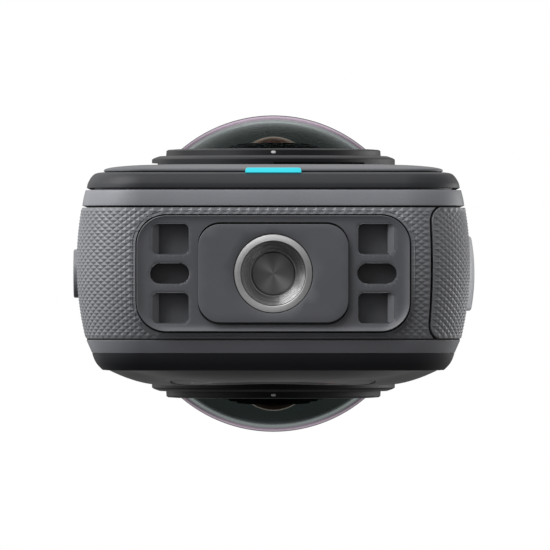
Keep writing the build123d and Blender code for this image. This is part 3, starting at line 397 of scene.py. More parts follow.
@dataclass(frozen=True)
class Lit:
    """A translucent lens with a light behind it, a little brighter along its middle."""

    name: str
    colour: Triple
    power: float
    half_length: float = 3.4 * MM
    cloud: float = 1.2 * MM

    def material(self) -> bpy.types.Material:
        """The finished material."""
        material, graph = new_graph(self.name)
        place = graph.place()
        x, _, _ = graph.parts(place)
        middle = 1.0 - (x * (1 / self.half_length)).absolute().power(4.0) * 0.25
        cloud = graph.noise(place, self.cloud, 2.0)
        colour = linear(self.colour)
        graph.surface(graph.principled({
            "Base Color": opaque(colour, 0.1),
            "Roughness": 0.35,
            "Emission Color": graph.tinted(colour, 0.85, 1.08, middle * 0.8 + cloud * 0.2),
            "Emission Strength": self.power,
        }))
        return material


@dataclass(frozen=True)
class Board:
    """A circuit board: solder mask over copper tracks, with a bare pad in the middle of each cell."""

    name: str
    colour: Triple = (18, 60, 44)
    pad_colour: Triple = (190, 170, 120)
    cell: float = 0.9 * MM
    relief: float = 0.02 * MM

    def material(self) -> bpy.types.Material:
        """The finished material."""
        material, graph = new_graph(self.name)
        cells = {"Vector": graph.place(), "Scale": 1 / self.cell}
        tracks = graph.add("ShaderNodeTexVoronoi", {"distance": "CHEBYCHEV", "feature": "F1"}, cells)
        copper = tracks.ramp(0.30, 0.34)
        pads = 1.0 - tracks.ramp(0.08, 0.1)
        colour = linear(self.colour)
        mask = graph.mix(copper, opaque(colour), opaque(colour, 0.6))
        graph.surface(graph.principled({
            "Base Color": graph.mix(pads, mask, opaque(linear(self.pad_colour))),
            "Metallic": pads,
            "Roughness": pads * -0.1 + 0.38,
            "Normal": graph.bump(copper, self.relief),
        }))
        return material


class Finish(Enum):
    """Every finish of the camera."""

    GRIP = Moulded("grip_soft_plastic", (104, 105, 109), 0.42, relief=0.004 * MM, mottle=0.10, gloss=0.6)
    TRIM = Moulded("trim_plastic", (116, 117, 122), 0.46, relief=0.003 * MM)
    HOUSING = Moulded("housing_satin", (33, 34, 38), 0.5, relief=0.002 * MM, mottle=0.05, gloss=0.35)
    REAR_TRIM = Moulded("rear_trim_satin", (116, 117, 122), 0.42, relief=0.002 * MM, mottle=0.05)
    PANEL = Moulded("panel_satin", (76, 77, 81), 0.42, relief=0.002 * MM, mottle=0.05, gloss=0.3)
    REAR_PANEL = Moulded("screen_panel_satin", (52, 53, 57), 0.42, relief=0.002 * MM, mottle=0.05, gloss=0.35)
    # Its recess shade is painted shade on the floors of the oval slots and of the pad's pocket.
    BASE = Moulded("base_fine_plastic", (82, 83, 87), 0.5, relief=0.003 * MM, mottle=0.05,
                   recess_shade=(0.7, 1.25, 0.6))
    RECESS = Moulded("recess_plastic", (40, 41, 45), 0.55, mottle=0.05)
    PAD = Moulded("pad_fine_plastic", (84, 85, 89), 0.52, relief=0.003 * MM, mottle=0.05)
    # Its last number, 0.5, is the strength of the painted sunburst highlight.
    BUSH = Turned("turned_bush", (190, 190, 190), 0.27, 0.12 * MM, 0.006 * MM, 0.5)
    LENS_BLACK = Moulded("lens_ring_black", (20, 21, 24), 0.45, relief=0.001 * MM, mottle=0.06, gloss=0.22)
    MOUNT = Moulded("lens_mount_black", (24, 25, 27), 0.42, mottle=0.06)
    DOT = Moulded("dot_white", (205, 205, 205), 0.4, mottle=0.02)
    DOME = CoatedGlass("dome_coated_glass", body=(214, 228, 226), tint=(160, 236, 224),
                       sheen=(232, 178, 226), edge=(84, 50, 78), ior=1.12)
    ELEMENT = CoatedGlass("element_coated_glass", body=(104, 52, 42), tint=(255, 180, 150),
                          sheen=(255, 178, 146), edge=(226, 160, 132), start=0.5, clear=0.05, ior=1.5)
    BARREL = Moulded("barrel_matt_black", (15, 15, 16), 0.62, relief=0.004 * MM, gloss=0.0)
    LIGHT = Lit("status_light_cyan", (64, 224, 240), 0.88)
    SCREEN = Moulded("screen_cover_glass", (10, 10, 13), 0.06, relief=0.0, mottle=0.02, coat=1.0)
    DISPLAY = Moulded("display_stack", (22, 22, 28), 0.25)
    KEY = Moulded("key_plastic", (104, 105, 109), 0.48, relief=0.003 * MM)
    LATCH = Moulded("latch_light_plastic", (168, 169, 174), 0.45, relief=0.003 * MM)
    SHUTTER = Moulded("shutter_key_plastic", (104, 105, 109), 0.48,
                      mark=(-5.9, 15.2, 0.8, 1.2, (196, 38, 34)))
    LENS_KEY = Moulded("lens_key_plastic", (104, 105, 109), 0.48,
                       mark=(8.2, 15.2, 1.0, 1.2, (205, 205, 207)))
    RUBBER = Moulded("seal_rubber", (14, 14, 15), 0.72, relief=0.006 * MM)
    FRAME = Moulded("frame_glass_filled", (48, 49, 52), 0.6, relief=0.006 * MM, mottle=0.12)
    ALUMINIUM = Metal("machined_aluminium", (205, 206, 210), 0.32)
    SCREW = Metal("black_screw", (80, 80, 84), 0.35)
    BOARD = Board("board_mask")
    CAN = Metal("tinned_can", (190, 190, 192), 0.28)
    SENSOR = Moulded("sensor_cover", (40, 48, 62), 0.08, relief=0.0, coat=1.0)
    CELL = Moulded("cell_case", (66, 67, 71), 0.5, relief=0.005 * MM)
    SMALL = Moulded("small_part_black", (36, 36, 38), 0.5)
    MESH = Metal("woven_mesh", (110, 110, 112), 0.4, (1.0, 1.0, 1.0))

    def material(self) -> bpy.types.Material:
        """The finish's material, made the first time that it is asked for."""
        made = bpy.data.materials.get(self.value.name)
        return made if made is not None else self.value.material()


# ---------------------------------------------------------------- surfaces


@dataclass
class Surface:
    """Points in millimetres and triangles that wind outwards."""

    points: Array
    faces: Array

    def __add__(self, other: "Surface") -> "Surface":
        """Both surfaces in one mesh."""
        points = np.concatenate([self.points, other.points])
        return Surface(points, np.concatenate([self.faces, other.faces + len(self.points)]))

    def turned(self, side: int) -> "Surface":
        """For side -1, the surface turned half round about the long axis."""
        if side > 0:
            return self
        return Surface(self.points * np.array([-1.0, -1.0, 1.0]), self.faces)

    def welded(self) -> "Surface":
        """Points at one place become one point, and triangles without area go."""
        keys = np.round(self.points * 1e5).astype(np.int64)
        _, first, back = np.unique(keys, axis=0, return_index=True, return_inverse=True)
        faces = back.reshape(-1)[self.faces]
        same = (faces == np.roll(faces, -1, axis=1)).any(1)
        return Surface(self.points[first], faces[~same])

    def outward(self) -> "Surface":
        """The surface facing outwards: its volume, a sixth of the sum of a . (b x c), is positive."""
        a, b, c = (self.points[self.faces[:, k]] for k in range(3))
        volume = np.einsum("ij,ij->", a, np.cross(b, c))
        return self if volume > 0 else Surface(self.points, self.faces[:, ::-1])


def grid_faces(rows: int, columns: int, close_rows: bool, close_columns: bool) -> Array:
    """Two triangles for each cell of a grid whose points are stored row by row."""
    i = np.arange(rows if close_rows else rows - 1)[:, None]
    j = np.arange(columns if close_columns else columns - 1)[None, :]
    i2 = (i + 1) % rows
    j2 = (j + 1) % columns
    corners = [i * columns + j, i2 * columns + j, i2 * columns + j2, i * columns + j2]
    a, b, c, d = (np.broadcast_to(k, (i.shape[0], j.shape[1])).ravel() for k in corners)
    return np.concatenate([np.stack([a, b, c], 1), np.stack([a, c, d], 1)])


def grid_surface(points: Array, close_rows: bool = True, close_columns: bool = True) -> Surface:
    """A surface from a (rows, columns, 3) grid of points, welded and facing outwards."""
    rows, columns = points.shape[:2]
    faces = grid_faces(rows, columns, close_rows, close_columns)
    return Surface(points.reshape(-1, 3), faces).welded().outward()


def round_corners(corners: list[Triple], steps: int = 4, closed: bool = True) -> Array:
    """A polyline whose corners are rounded.

    A corner's arc is a quadratic Bezier from the points at its radius along both sides.

    Args:
        corners: (a, b, radius) for each corner.
        steps: points of each arc, less one.
        closed: whether the last corner joins the first.

    Returns:
        An (n, 2) array of points.
    """
    spots = np.array([c[:2] for c in corners], float)
    count = len(corners)
    made = []
    for k, (_, _, radius) in enumerate(corners):
        here = spots[k]
        if radius <= 0 or (not closed and k in (0, count - 1)):
            made.append(here[None])
            continue
        to_last = spots[k - 1] - here
        to_next = spots[(k + 1) % count] - here
        start = here + to_last / np.linalg.norm(to_last) * radius
        end = here + to_next / np.linalg.norm(to_next) * radius
        t = np.linspace(0, 1, steps + 1)[:, None]
        made.append((1 - t) ** 2 * start + 2 * t * (1 - t) * here + t**2 * end)
    return np.concatenate(made)


def smooth(value: Array, low: float, high: float) -> Array:
    """0 below low, 1 above high, and a smooth cubic step between them."""
    t = np.clip((value - low) / (high - low), 0, 1)
    return t * t * (3 - 2 * t)


def spread_loop(loop: Array, step: float) -> Array:
    """The loop with more points, no further apart than step."""
    ahead = np.roll(loop, -1, axis=0)
    gaps = np.linalg.norm(ahead - loop, axis=1)
    counts = np.maximum(np.ceil(gaps / step).astype(int), 1)
    which = np.repeat(np.arange(len(loop)), counts)
    part = (np.arange(len(which)) - np.repeat(np.cumsum(counts) - counts, counts)) / counts[which]
    return loop[which] + (ahead[which] - loop[which]) * part[:, None]


def scaled_loop(loop: Array, half: Pair, grow: float) -> Array:
    """A loop about the origin, scaled so that its half size becomes larger by grow both ways."""
    return loop * ((np.array(half) + grow) / np.array(half))


def keep_outside(loop: Array, centre: Array, radius: float) -> Array:
    """A loop whose points inside a circle are pushed out to it."""
    away = loop - centre
    size = np.linalg.norm(away, axis=1, keepdims=True)
    return np.where(size < radius, centre + away / np.maximum(size, 1e-9) * radius, loop)


@dataclass(frozen=True)
class Box:
    """A rounded rectangle in a plane: its middle, its half size and its corner radius."""

    u: float
    v: float
    half_u: float
    half_v: float
    radius: float

    @classmethod
    def disc(cls, u: float, v: float, radius: float) -> "Box":
        """A circle."""
        return cls(u, v, radius, radius, radius)

    def grown(self, by: float) -> "Box":
        """The rectangle pushed outwards by a length, with its corners."""
        return Box(self.u, self.v, self.half_u + by, self.half_v + by, self.radius + by)

    def widened(self, by_u: float, by_v: float) -> "Box":
        """The rectangle with a larger half size and the same corner radius."""
        return replace(self, half_u=self.half_u + by_u, half_v=self.half_v + by_v)

    def distance(self, u: Array, v: Array) -> Array:
        """Distance from the outline, negative inside."""
        qu = np.abs(u - self.u) - self.half_u + self.radius
        qv = np.abs(v - self.v) - self.half_v + self.radius
        outside = np.hypot(np.maximum(qu, 0), np.maximum(qv, 0))
        return outside + np.minimum(np.maximum(qu, qv), 0) - self.radius

    def loop(self, grow: float = 0.0, steps: int = 10, step: float | None = None) -> Array:
        """The outline as an (n, 2) loop of points.

        Args:
            grow: how far it is pushed outwards.
            steps: points of each corner's arc, less one.
            step: how far apart two points may be; None leaves the straight sides without points.

        Returns:
            The loop, in the plane's own coordinates.
        """
        hu, hv = self.half_u + grow, self.half_v + grow
        r = max(min(self.radius + grow, hu, hv), 1e-4)
        quarter = np.linspace(0, math.pi / 2, steps + 1)
        arcs = []
        for turn, (su, sv) in enumerate(((1, 1), (-1, 1), (-1, -1), (1, -1))):
            a = quarter + turn * math.pi / 2
            arcs.append(np.stack([su * (hu - r) + r * np.cos(a), sv * (hv - r) + r * np.sin(a)], 1))
        loop = np.concatenate(arcs)
        return (loop if step is None else spread_loop(loop, step)) + [self.u, self.v]


class Facing(Enum):
    """The way that a face looks: the axes of u, v and the height, and the height's sign."""

    FRONT = (0, 2, 1, 1.0)
    REAR = (0, 2, 1, -1.0)
    BELOW = (0, 1, 2, 1.0)
    LEFT = (1, 2, 0, 1.0)
    RIGHT = (1, 2, 0, -1.0)

    def place(self, u: Array, v: Array, height: Array | float) -> Array:
        """Points in space for u, v and height."""
        u_axis, v_axis, h_axis, sign = self.value
        points = np.empty((*np.shape(u), 3))
        points[..., u_axis] = u
        points[..., v_axis] = v
        points[..., h_axis] = sign * height
        return points


@dataclass(frozen=True)
class Outline:
    """The body's outline seen from the front, drawn by its length s from the middle of the bottom."""

    half_width: float = 22.3
    bottom: float = 0.3
    top: float = 124.5
    foot_r: float = 7.5
    head_r: float = 14.0

    def marks(self) -> Array:
        """The lengths at which the flat bottom, the foot's arc, the side, the head's arc and the top end."""
        a1 = self.half_width - self.foot_r
        a2 = a1 + self.foot_r * math.pi / 2
        a3 = a2 + (self.top - self.head_r) - (self.bottom + self.foot_r)
        a4 = a3 + self.head_r * math.pi / 2
        return np.array([a1, a2, a3, a4, a4 + self.half_width - self.head_r])

    def skin(self, s: Array, y: Array, inset: Array) -> Array:
        """Points at a length s, a depth y and an inset from the widest outline.

        The outline is two flats, two sides and four arcs; a point is the outline's own place less its
        outward normal times the inset.
        """
        a1, a2, a3, a4, a5 = self.marks()
        sign = np.where(s < 0, -1.0, 1.0)
        d = np.minimum(np.abs(s), a5)
        foot = (d - a1) / self.foot_r
        head = (d - a3) / self.head_r
        where = [d <= a1, d <= a2, d <= a3, d <= a4]
        head_x = self.half_width - self.head_r
        x = np.select(where, [d, a1 + self.foot_r * np.sin(foot), self.half_width + 0 * d,
                              head_x + self.head_r * np.cos(head)], head_x - (d - a4))
        z = np.select(where, [self.bottom + 0 * d, self.bottom + self.foot_r * (1 - np.cos(foot)),
                              self.bottom + self.foot_r + d - a2,
                              self.top - self.head_r + self.head_r * np.sin(head)], self.top)
        nx = np.select(where, [0 * d, np.sin(foot), 1 + 0 * d, np.cos(head)], 0.0)
        nz = np.select(where, [-1 + 0 * d, -np.cos(foot), 0 * d, np.sin(head)], 1.0)
        return np.stack(np.broadcast_arrays(sign * (x - inset * nx), y, z - inset * nz), -1)

    def stations(self, arc_steps: int = 26, flat_steps: int = 8) -> Array:
        """Lengths for one trip round the outline, dense on its arcs."""
        marks = [0.0, *self.marks()]
        counts = (flat_steps, arc_steps, flat_steps * 3, arc_steps, flat_steps // 2)
        parts = [np.linspace(low, high, count, endpoint=False)
                 for low, high, count in zip(marks, marks[1:], counts)]
        half = np.concatenate([*parts, marks[-1:]])
        return np.concatenate([-half[:0:-1], half[:-1]])

    def inset_at(self, x: Array, z: Array) -> Array:
        """How far inside the outline a point of the XZ plane lies."""
        middle = (self.bottom + self.top) / 2
        half_z = (self.top - self.bottom) / 2
        radius = np.where(z < middle, self.foot_r, self.head_r)
        qx = np.abs(x) - self.half_width + radius
        qz = np.abs(z - middle) - half_z + radius
        return radius - np.hypot(np.maximum(qx, 0), np.maximum(qz, 0)) - np.minimum(np.maximum(qx, qz), 0)

    def loop(self, inset: float, step: float = 0.8, least_r: float = 0.1) -> Array:
        """The outline drawn in by an inset, as an (n, 2) loop in X and Z."""
        half_x = self.half_width - inset
        low, high = self.bottom + inset, self.top - inset
        foot, head = max(self.foot_r - inset, least_r), max(self.head_r - inset, least_r)
        quarter = np.linspace(0, math.pi / 2, 18)
        arcs = [(half_x - head, high - head, head), (head - half_x, high - head, head),
                (foot - half_x, low + foot, foot), (half_x - foot, low + foot, foot)]
        made = []
        for turn, (cx, cz, r) in enumerate(arcs):
            a = quarter + turn * math.pi / 2
            made.append(np.stack([cx + r * np.cos(a), cz + r * np.sin(a)], 1))
        return spread_loop(np.concatenate(made), step)

    def carried(self, corners: list[Triple], steps: int = 4) -> Surface:
        """A closed (y, inset) profile with rounded corners, carried once round the outline."""
        profile = round_corners(corners, steps)
        s = self.stations()[:, None]
        return grid_surface(self.skin(s, profile[None, :, 0], profile[None, :, 1]))


BODY = Outline()


def used_only(faces: Array) -> tuple[Array, Array]:
    """The points that triangles use, and the triangles numbered by them."""
    used, faces = np.unique(faces, return_inverse=True)
    return used, faces.reshape(-1, 3)


@dataclass
class Plate:
    """A plate over a region of a plane, cut by holes, with its own height at each point.

    The region is filled with triangles between its edge loops and guide loops, by constrained Delaunay
    triangulation. The face lies at height(u, v) and the back at a fixed level.
    """

    edges: list[Array]
    inside: Height
    height: Height
    back: float
    guides: list[Array]
    step: float
    row: float = 0.866
    clearance: float = 0.4

    def lattice(self, low: Array, high: Array) -> Array:
        """Points of a triangular lattice in the region, clear of its edges."""
        us = np.arange(low[0], high[0], self.step)
        vs = np.arange(low[1], high[1], self.step * self.row)
        gu, gv = np.meshgrid(us, vs)
        gu = gu + (np.arange(len(vs)) % 2)[:, None] * self.step / 2
        points = np.stack([gu.ravel(), gv.ravel()], 1)
        return points[self.inside(points[:, 0], points[:, 1]) < -self.step * self.clearance]

    def surface(self, facing: Facing) -> Surface:
        """The closed plate: its face, its back and the walls along every edge."""
        loops = self.edges + self.guides
        points = np.concatenate(loops)
        starts = np.cumsum([0] + [len(loop) for loop in loops])
        lines = [np.stack([np.arange(len(p)), (np.arange(len(p)) + 1) % len(p)], 1) + start
                 for p, start in zip(loops, starts)]
        points = np.concatenate([points, self.lattice(points.min(0), points.max(0))])
        result = geometry.delaunay_2d_cdt(points.tolist(), np.concatenate(lines).tolist(), [], 0, 1e-6, False)
        flat = np.array([tuple(p) for p in result[0]])
        faces = np.array(result[2])
        middle = flat[faces].mean(1)
        used, faces = used_only(faces[self.inside(middle[:, 0], middle[:, 1]) < 0])
        flat = flat[used]
        a, b, c = (flat[faces[:, k]] for k in range(3))
        twice = (b[:, 0] - a[:, 0]) * (c[:, 1] - a[:, 1]) - (b[:, 1] - a[:, 1]) * (c[:, 0] - a[:, 0])
        faces = np.where(twice[:, None] < 0, faces[:, ::-1], faces)[np.abs(twice) > 1e-9]
        u, v = flat.T
        return closed_shell(facing.place(u, v, self.height(u, v)), facing.place(u, v, self.back), faces)


def closed_shell(face: Array, back: Array, faces: Array) -> Surface:
    """A face, its back and the walls that join their open edges."""
    count = len(face)
    sides = np.concatenate([faces[:, [0, 1]], faces[:, [1, 2]], faces[:, [2, 0]]])
    keys = sides[:, 0].astype(np.int64) * count + sides[:, 1]
    mirror = sides[:, 1].astype(np.int64) * count + sides[:, 0]
    rim = sides[~np.isin(keys, mirror)]
    walls = np.concatenate([np.stack([rim[:, 1], rim[:, 0], rim[:, 0] + count], 1),
                            np.stack([rim[:, 1], rim[:, 0] + count, rim[:, 1] + count], 1)])
    points = np.concatenate([face, back])
    return Surface(points, np.concatenate([faces, faces[:, ::-1] + count, walls])).outward()


def stacked(levels: list[Array]) -> Surface:
    """A solid through a stack of convex (n, 3) loops, closed by a fan at both ends."""
    ends = [np.broadcast_to(loop.mean(0), loop.shape) for loop in (levels[0], levels[-1])]
    return grid_surface(np.stack([ends[0], *levels, ends[1]]), close_rows=False)


def about_y(radius: Array, y: Array, angle: Array, z: float) -> Array:
    """Points by radius, depth and angle about a line along Y at the height z."""
    return np.stack(np.broadcast_arrays(radius * np.cos(angle), y, z + radius * np.sin(angle)), -1)


def revolved(profile: Array, z: float, count: int, closed: bool = True) -> Surface:
    """A (radius, y) profile turned about a line along Y at the height z."""
    angle = np.linspace(0, 2 * math.pi, count, endpoint=False)[:, None]
    grid = about_y(profile[None, :, 0], profile[None, :, 1], angle, z)
    return grid_surface(grid, close_columns=closed)


# ---------------------------------------------------------------- pieces and bodies


def piece(name: str, shape: Surface, finish: Finish, body: str,
          replaces: tuple[str, ...] = (), crease: float | None = 32.0) -> None:
    """Makes one piece of the camera.

    Args:
        name: the object's name.
        shape: its surface, in millimetres in the frame.
        finish: its finish.
        body: the CAD body that it moves with.
        replaces: the CAD nodes that it stands for.
        crease: edges sharper than this many degrees stay sharp; None leaves flat facets.
    """
    mesh = bpy.data.meshes.new(name)
    mesh.vertices.add(len(shape.points))
    mesh.vertices.foreach_set("co", (shape.points * MM).astype(np.float32).ravel())
    mesh.loops.add(shape.faces.size)
    mesh.loops.foreach_set("vertex_index", shape.faces.astype(np.int32).ravel())
    mesh.polygons.add(len(shape.faces))
    mesh.polygons.foreach_set("loop_start", np.arange(0, shape.faces.size, 3, dtype=np.int32))
    mesh.update(calc_edges=True)
    mesh.validate()
    if crease is None:
        mesh.shade_flat()
    else:
        mesh.shade_smooth()
        mesh.set_sharp_from_angle(angle=math.radians(crease))
    mesh.materials.append(finish.material())
    made = bpy.data.objects.new(name, mesh)
    bpy.context.scene.collection.objects.link(made)
    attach(made, body)
    if replaces:
        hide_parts(*replaces)
    LOG.info("%s: %d triangles on %s", name, len(shape.faces), body)


@dataclass
class Grip:
    """The knurled skin round the edge of the body, with the battery door and the cable door cut from it.

    The skin is drawn in two lengths: s round the outline and y across it.
    """

    front: float = 7.45
    rear: float = 7.33
    front_inset: float = 0.54
    rear_inset: float = 0.98
    columns: int = 590
    rows: int = 41
    depth: float = 0.125
    tip: float = 0.02
    wall: float = 1.15
    seam: float = 0.32
    plate: Box = Box(0.0, 0.0, 15.56, 6.7, 3.45)
    plate_lip: Pair = (0.42, 0.36)
    lip: float = 0.22
    lip_round: float = 0.04
    door_x: float = 18.05
    door_top: float = 70.5
    door_r: float = 1.7
    door_lip: Pair = (0.06, 0.12)
    cable_low: float = 75.0
    cable_high: float = 92.0
    cable_half: float = 5.0
    cable_r: float = 1.5
    hinge_r: float = 0.02
    key_heights: Pair = (86.0, 66.0)
    key_half: Pair = (6.75, 3.0)
    mic_x: float = 6.4
    mic_r: float = 1.35
    speaker_z: float = 39.0
    speaker_half: Pair = (6.3, 1.15)
    latch_low: float = 47.35
    latch_high: float = 65.15
    latch_half: float = 4.5
    latch_r: float = 1.75
    latch_lip: float = 0.3
    reach: float = 0.3
    stride: float = 0.35
    least_slope: float = 0.05
    on_edge: float = 0.02
    slack: float = 0.06

    def crown(self, y: Array) -> Array:
        """The inset of the crowned skin: a circle through its two edges and its middle."""
        rows = np.array([[2 * self.front, 2 * self.front_inset], [-2 * self.rear, 2 * self.rear_inset]])
        sums = np.array([self.front**2 + self.front_inset**2, self.rear**2 + self.rear_inset**2])
        cy, ci = np.linalg.solve(rows, sums)
        return ci - np.sqrt(np.maximum(cy**2 + ci**2 - (np.asarray(y) - cy) ** 2, 0))

    def skin(self, s: Array, y: Array, drop: Array) -> Array:
        """A point of the skin, drop below its envelope."""
        return BODY.skin(s, y, self.crown(y) + drop)

    def side_s(self, z: float) -> float:
        """The length round the outline of a height on a straight side."""
        return float(BODY.marks()[1]) + z - BODY.bottom - BODY.foot_r

    def door(self) -> Box:
        """The battery door, in s and y."""
        a1 = float(BODY.marks()[0])
        low = -(a1 + BODY.foot_r * math.asin((self.door_x - a1) / BODY.foot_r))
        high = -self.side_s(self.door_top)
        return Box((low + high) / 2, (self.front - self.rear) / 2, (low - high) / 2,
                   (self.front + self.rear) / 2, self.door_r)

    def cable(self) -> Box:
        """The cable door, in s and y."""
        middle = -self.side_s((self.cable_low + self.cable_high) / 2)
        return Box(middle, 0.0, (self.cable_high - self.cable_low) / 2, self.cable_half, self.cable_r)

    def cable_distance(self, s: Array, y: Array) -> Array:
        """Distance from the cable door's outline, which is square at its hinge."""
        door = self.cable()
        half = door.half_u / 2
        hinge = Box(door.u + half, 0.0, half, door.half_v, self.hinge_r)
        return np.minimum(door.distance(s, y), hinge.distance(s, y))

    def latch(self) -> Box:
        """The latch's slot in the battery door, in s and y."""
        middle = -(self.side_s(self.latch_low) + self.side_s(self.latch_high)) / 2
        return Box(middle, 0.0, (self.latch_high - self.latch_low) / 2, self.latch_half, self.latch_r)

    def openings(self) -> list[Box]:
        """The band's plain openings, in s and y: plate, side keys, microphones and speaker."""
        end = float(BODY.marks()[4])
        made = [self.plate]
        made += [Box(self.side_s(z), 0.0, *self.key_half, self.key_half[1]) for z in self.key_heights]
        made += [Box.disc(way * (end - self.mic_x), 0.0, self.mic_r) for way in (1, -1)]
        return made + [Box(self.side_s(self.speaker_z), 0.0, *self.speaker_half, self.speaker_half[1])]

    def band_distance(self, s: Array, y: Array) -> Array:
        """Negative on the band, positive in its openings."""
        out = np.maximum(self.seam - self.door().distance(s, y), self.seam - self.cable_distance(s, y))
        for box in self.openings():
            out = np.maximum(out, -box.distance(s, y))
        return out

    def door_distance(self, s: Array, y: Array) -> Array:
        """Negative on the battery door, positive round it and in the latch's slot."""
        return np.maximum(self.door().distance(s, y), -self.latch().distance(s, y))

    def lattice(self) -> tuple[Array, Array, Array, Array, Array]:
        """The knurl's half cells over the whole skin, each with four corners and a middle.

        A corner with an even column plus row is a tip. An odd one and every middle lie in the grooves, so
        four triangles a cell make exact diamond pyramids.

        Returns:
            The points' s, y and drop, whether each is held at the skin's edge, and the triangles.
        """
        end = float(BODY.marks()[4])
        k = np.arange(self.columns)
        j = np.arange(self.rows + 1)
        ds = 2 * end / self.columns
        dy = (self.front + self.rear) / self.rows
        corners, middles = (self.columns, self.rows + 1), (self.columns, self.rows)
        s = np.broadcast_to((-end + k * ds)[:, None], corners)
        y = np.broadcast_to((-self.rear + j * dy)[None, :], corners)
        mid_s = np.broadcast_to((-end + (k + 0.5) * ds)[:, None], middles)
        mid_y = np.broadcast_to((-self.rear + (j[:-1] + 0.5) * dy)[None, :], middles)
        edge = np.broadcast_to(((j == 0) | (j == self.rows))[None, :], corners)
        tip = ((k[:, None] + j[None, :]) % 2 == 0) & ~edge
        drop = np.where(tip, self.tip, self.depth)
        cell_k = np.repeat(k, self.rows)
        cell_j = np.tile(j[:-1], self.columns)
        a = cell_k * (self.rows + 1) + cell_j
        b = (cell_k + 1) % self.columns * (self.rows + 1) + cell_j
        c, d = b + 1, a + 1
        e = s.size + cell_k * self.rows + cell_j
        faces = np.concatenate([np.stack(t, 1) for t in ((a, b, e), (b, c, e), (c, d, e), (d, a, e))])
        return (np.concatenate([s.ravel(), mid_s.ravel()]), np.concatenate([y.ravel(), mid_y.ravel()]),
                np.concatenate([drop.ravel(), np.full(mid_s.size, self.depth)]),
                np.concatenate([edge.ravel(), np.zeros(mid_s.size, bool)]), faces)

    def knurled(self, distance: Height) -> Surface:
        """The knurled skin where a distance is negative.

        Points within reach of the region's edge slide onto it along the distance's gradient, which is
        measured over a small nudge; those on the skin's own edge keep their y.
        """
        s, y, drop, held, faces = self.lattice()
        near = np.abs(distance(s, y)) < self.reach
        nudge = 1e-3
        for _ in range(4):
            gs = (distance(s + nudge, y) - distance(s - nudge, y)) / (2 * nudge)
            gy = np.where(held, 0.0, (distance(s, y + nudge) - distance(s, y - nudge)) / (2 * nudge))
            slope = gs**2 + gy**2
            move = distance(s, y) / np.maximum(slope, self.least_slope)
            move = np.where(near & (slope > self.least_slope), move, 0.0)
            move = np.clip(move, -self.stride, self.stride)
            s, y = s - move * gs, y - move * gy
        left = distance(s, y)
        drop = np.where(near & (np.abs(left) < self.on_edge), 0.5 * self.depth, drop)
        flat_s, flat_y = s[faces], y[faces]
        across = flat_s.max(1) - flat_s.min(1) > BODY.marks()[4]
        mean_s = np.where(across, flat_s.max(1), flat_s.mean(1))
        keep = (distance(mean_s, flat_y.mean(1)) < 0) & (left[faces].max(1) < self.slack)
        used, faces = used_only(faces[keep])
        face = self.skin(s[used], y[used], drop[used])
        back = self.skin(s[used], y[used], np.full(len(used), self.wall))
        return closed_shell(face, back, faces)

    def rim(self, box: Box, width: float, start: float = 0.0, inwards: bool = False) -> Surface:
        """A smooth lip along a rounded rectangle in s and y.

        Its section is a top of the given width that starts below the envelope and rises to it, with small
        rounded edges and a wall down into the skin; it is carried along the loop.

        Args:
            box: the rounded rectangle.
            width: the lip's width.
            start: how far below the envelope the lip starts.
            inwards: whether the lip lies inside the loop, as on a door, or outside it.

        Returns:
            The closed lip.
        """
        way = -1.0 if inwards else 1.0
        far = width + self.lip_round
        section = round_corners([(0.0, 1.0, 0.0), (0.0, start, self.lip_round), (width, 0.0, self.lip_round),
                                 (far, 0.3, 0.0), (far, 1.0, 0.0)], 3)
        loops = [box.loop(way * offset, 14, 1.2) for offset, _ in section]
        count = min(len(loop) for loop in loops)
        grid = []
        for loop, (_, drop) in zip(loops, section):
            at = np.linspace(0, len(loop), count, endpoint=False)
            whole = np.floor(at).astype(int) % len(loop)
            part = (at - np.floor(at))[:, None]
            even = loop[whole] * (1 - part) + loop[(whole + 1) % len(loop)] * part
            grid.append(self.skin(even[:, 0], even[:, 1], np.full(count, drop)))
        return grid_surface(np.stack(grid))

    def build(self) -> None:
        """Makes the band, the battery door and the cable door."""
        plate, *others = self.openings()
        band = self.knurled(self.band_distance) + self.rim(plate, *self.plate_lip)
        for box in others:
            band = band + self.rim(box, self.lip)
        piece("grip_skin_band", band, Finish.GRIP, "camera", ("grip_band",), None)
        door = self.knurled(self.door_distance) + self.rim(self.door(), *self.door_lip, inwards=True)
        piece("battery_door_skin", door + self.rim(self.latch(), self.latch_lip), Finish.GRIP, "battery",
              ("battery_cap",), None)
        cable = self.knurled(self.cable_distance) + self.rim(self.cable(), *self.door_lip, inwards=True)
        piece("cable_door_skin", cable, Finish.GRIP, "cable_door", ("usb_door",), None)


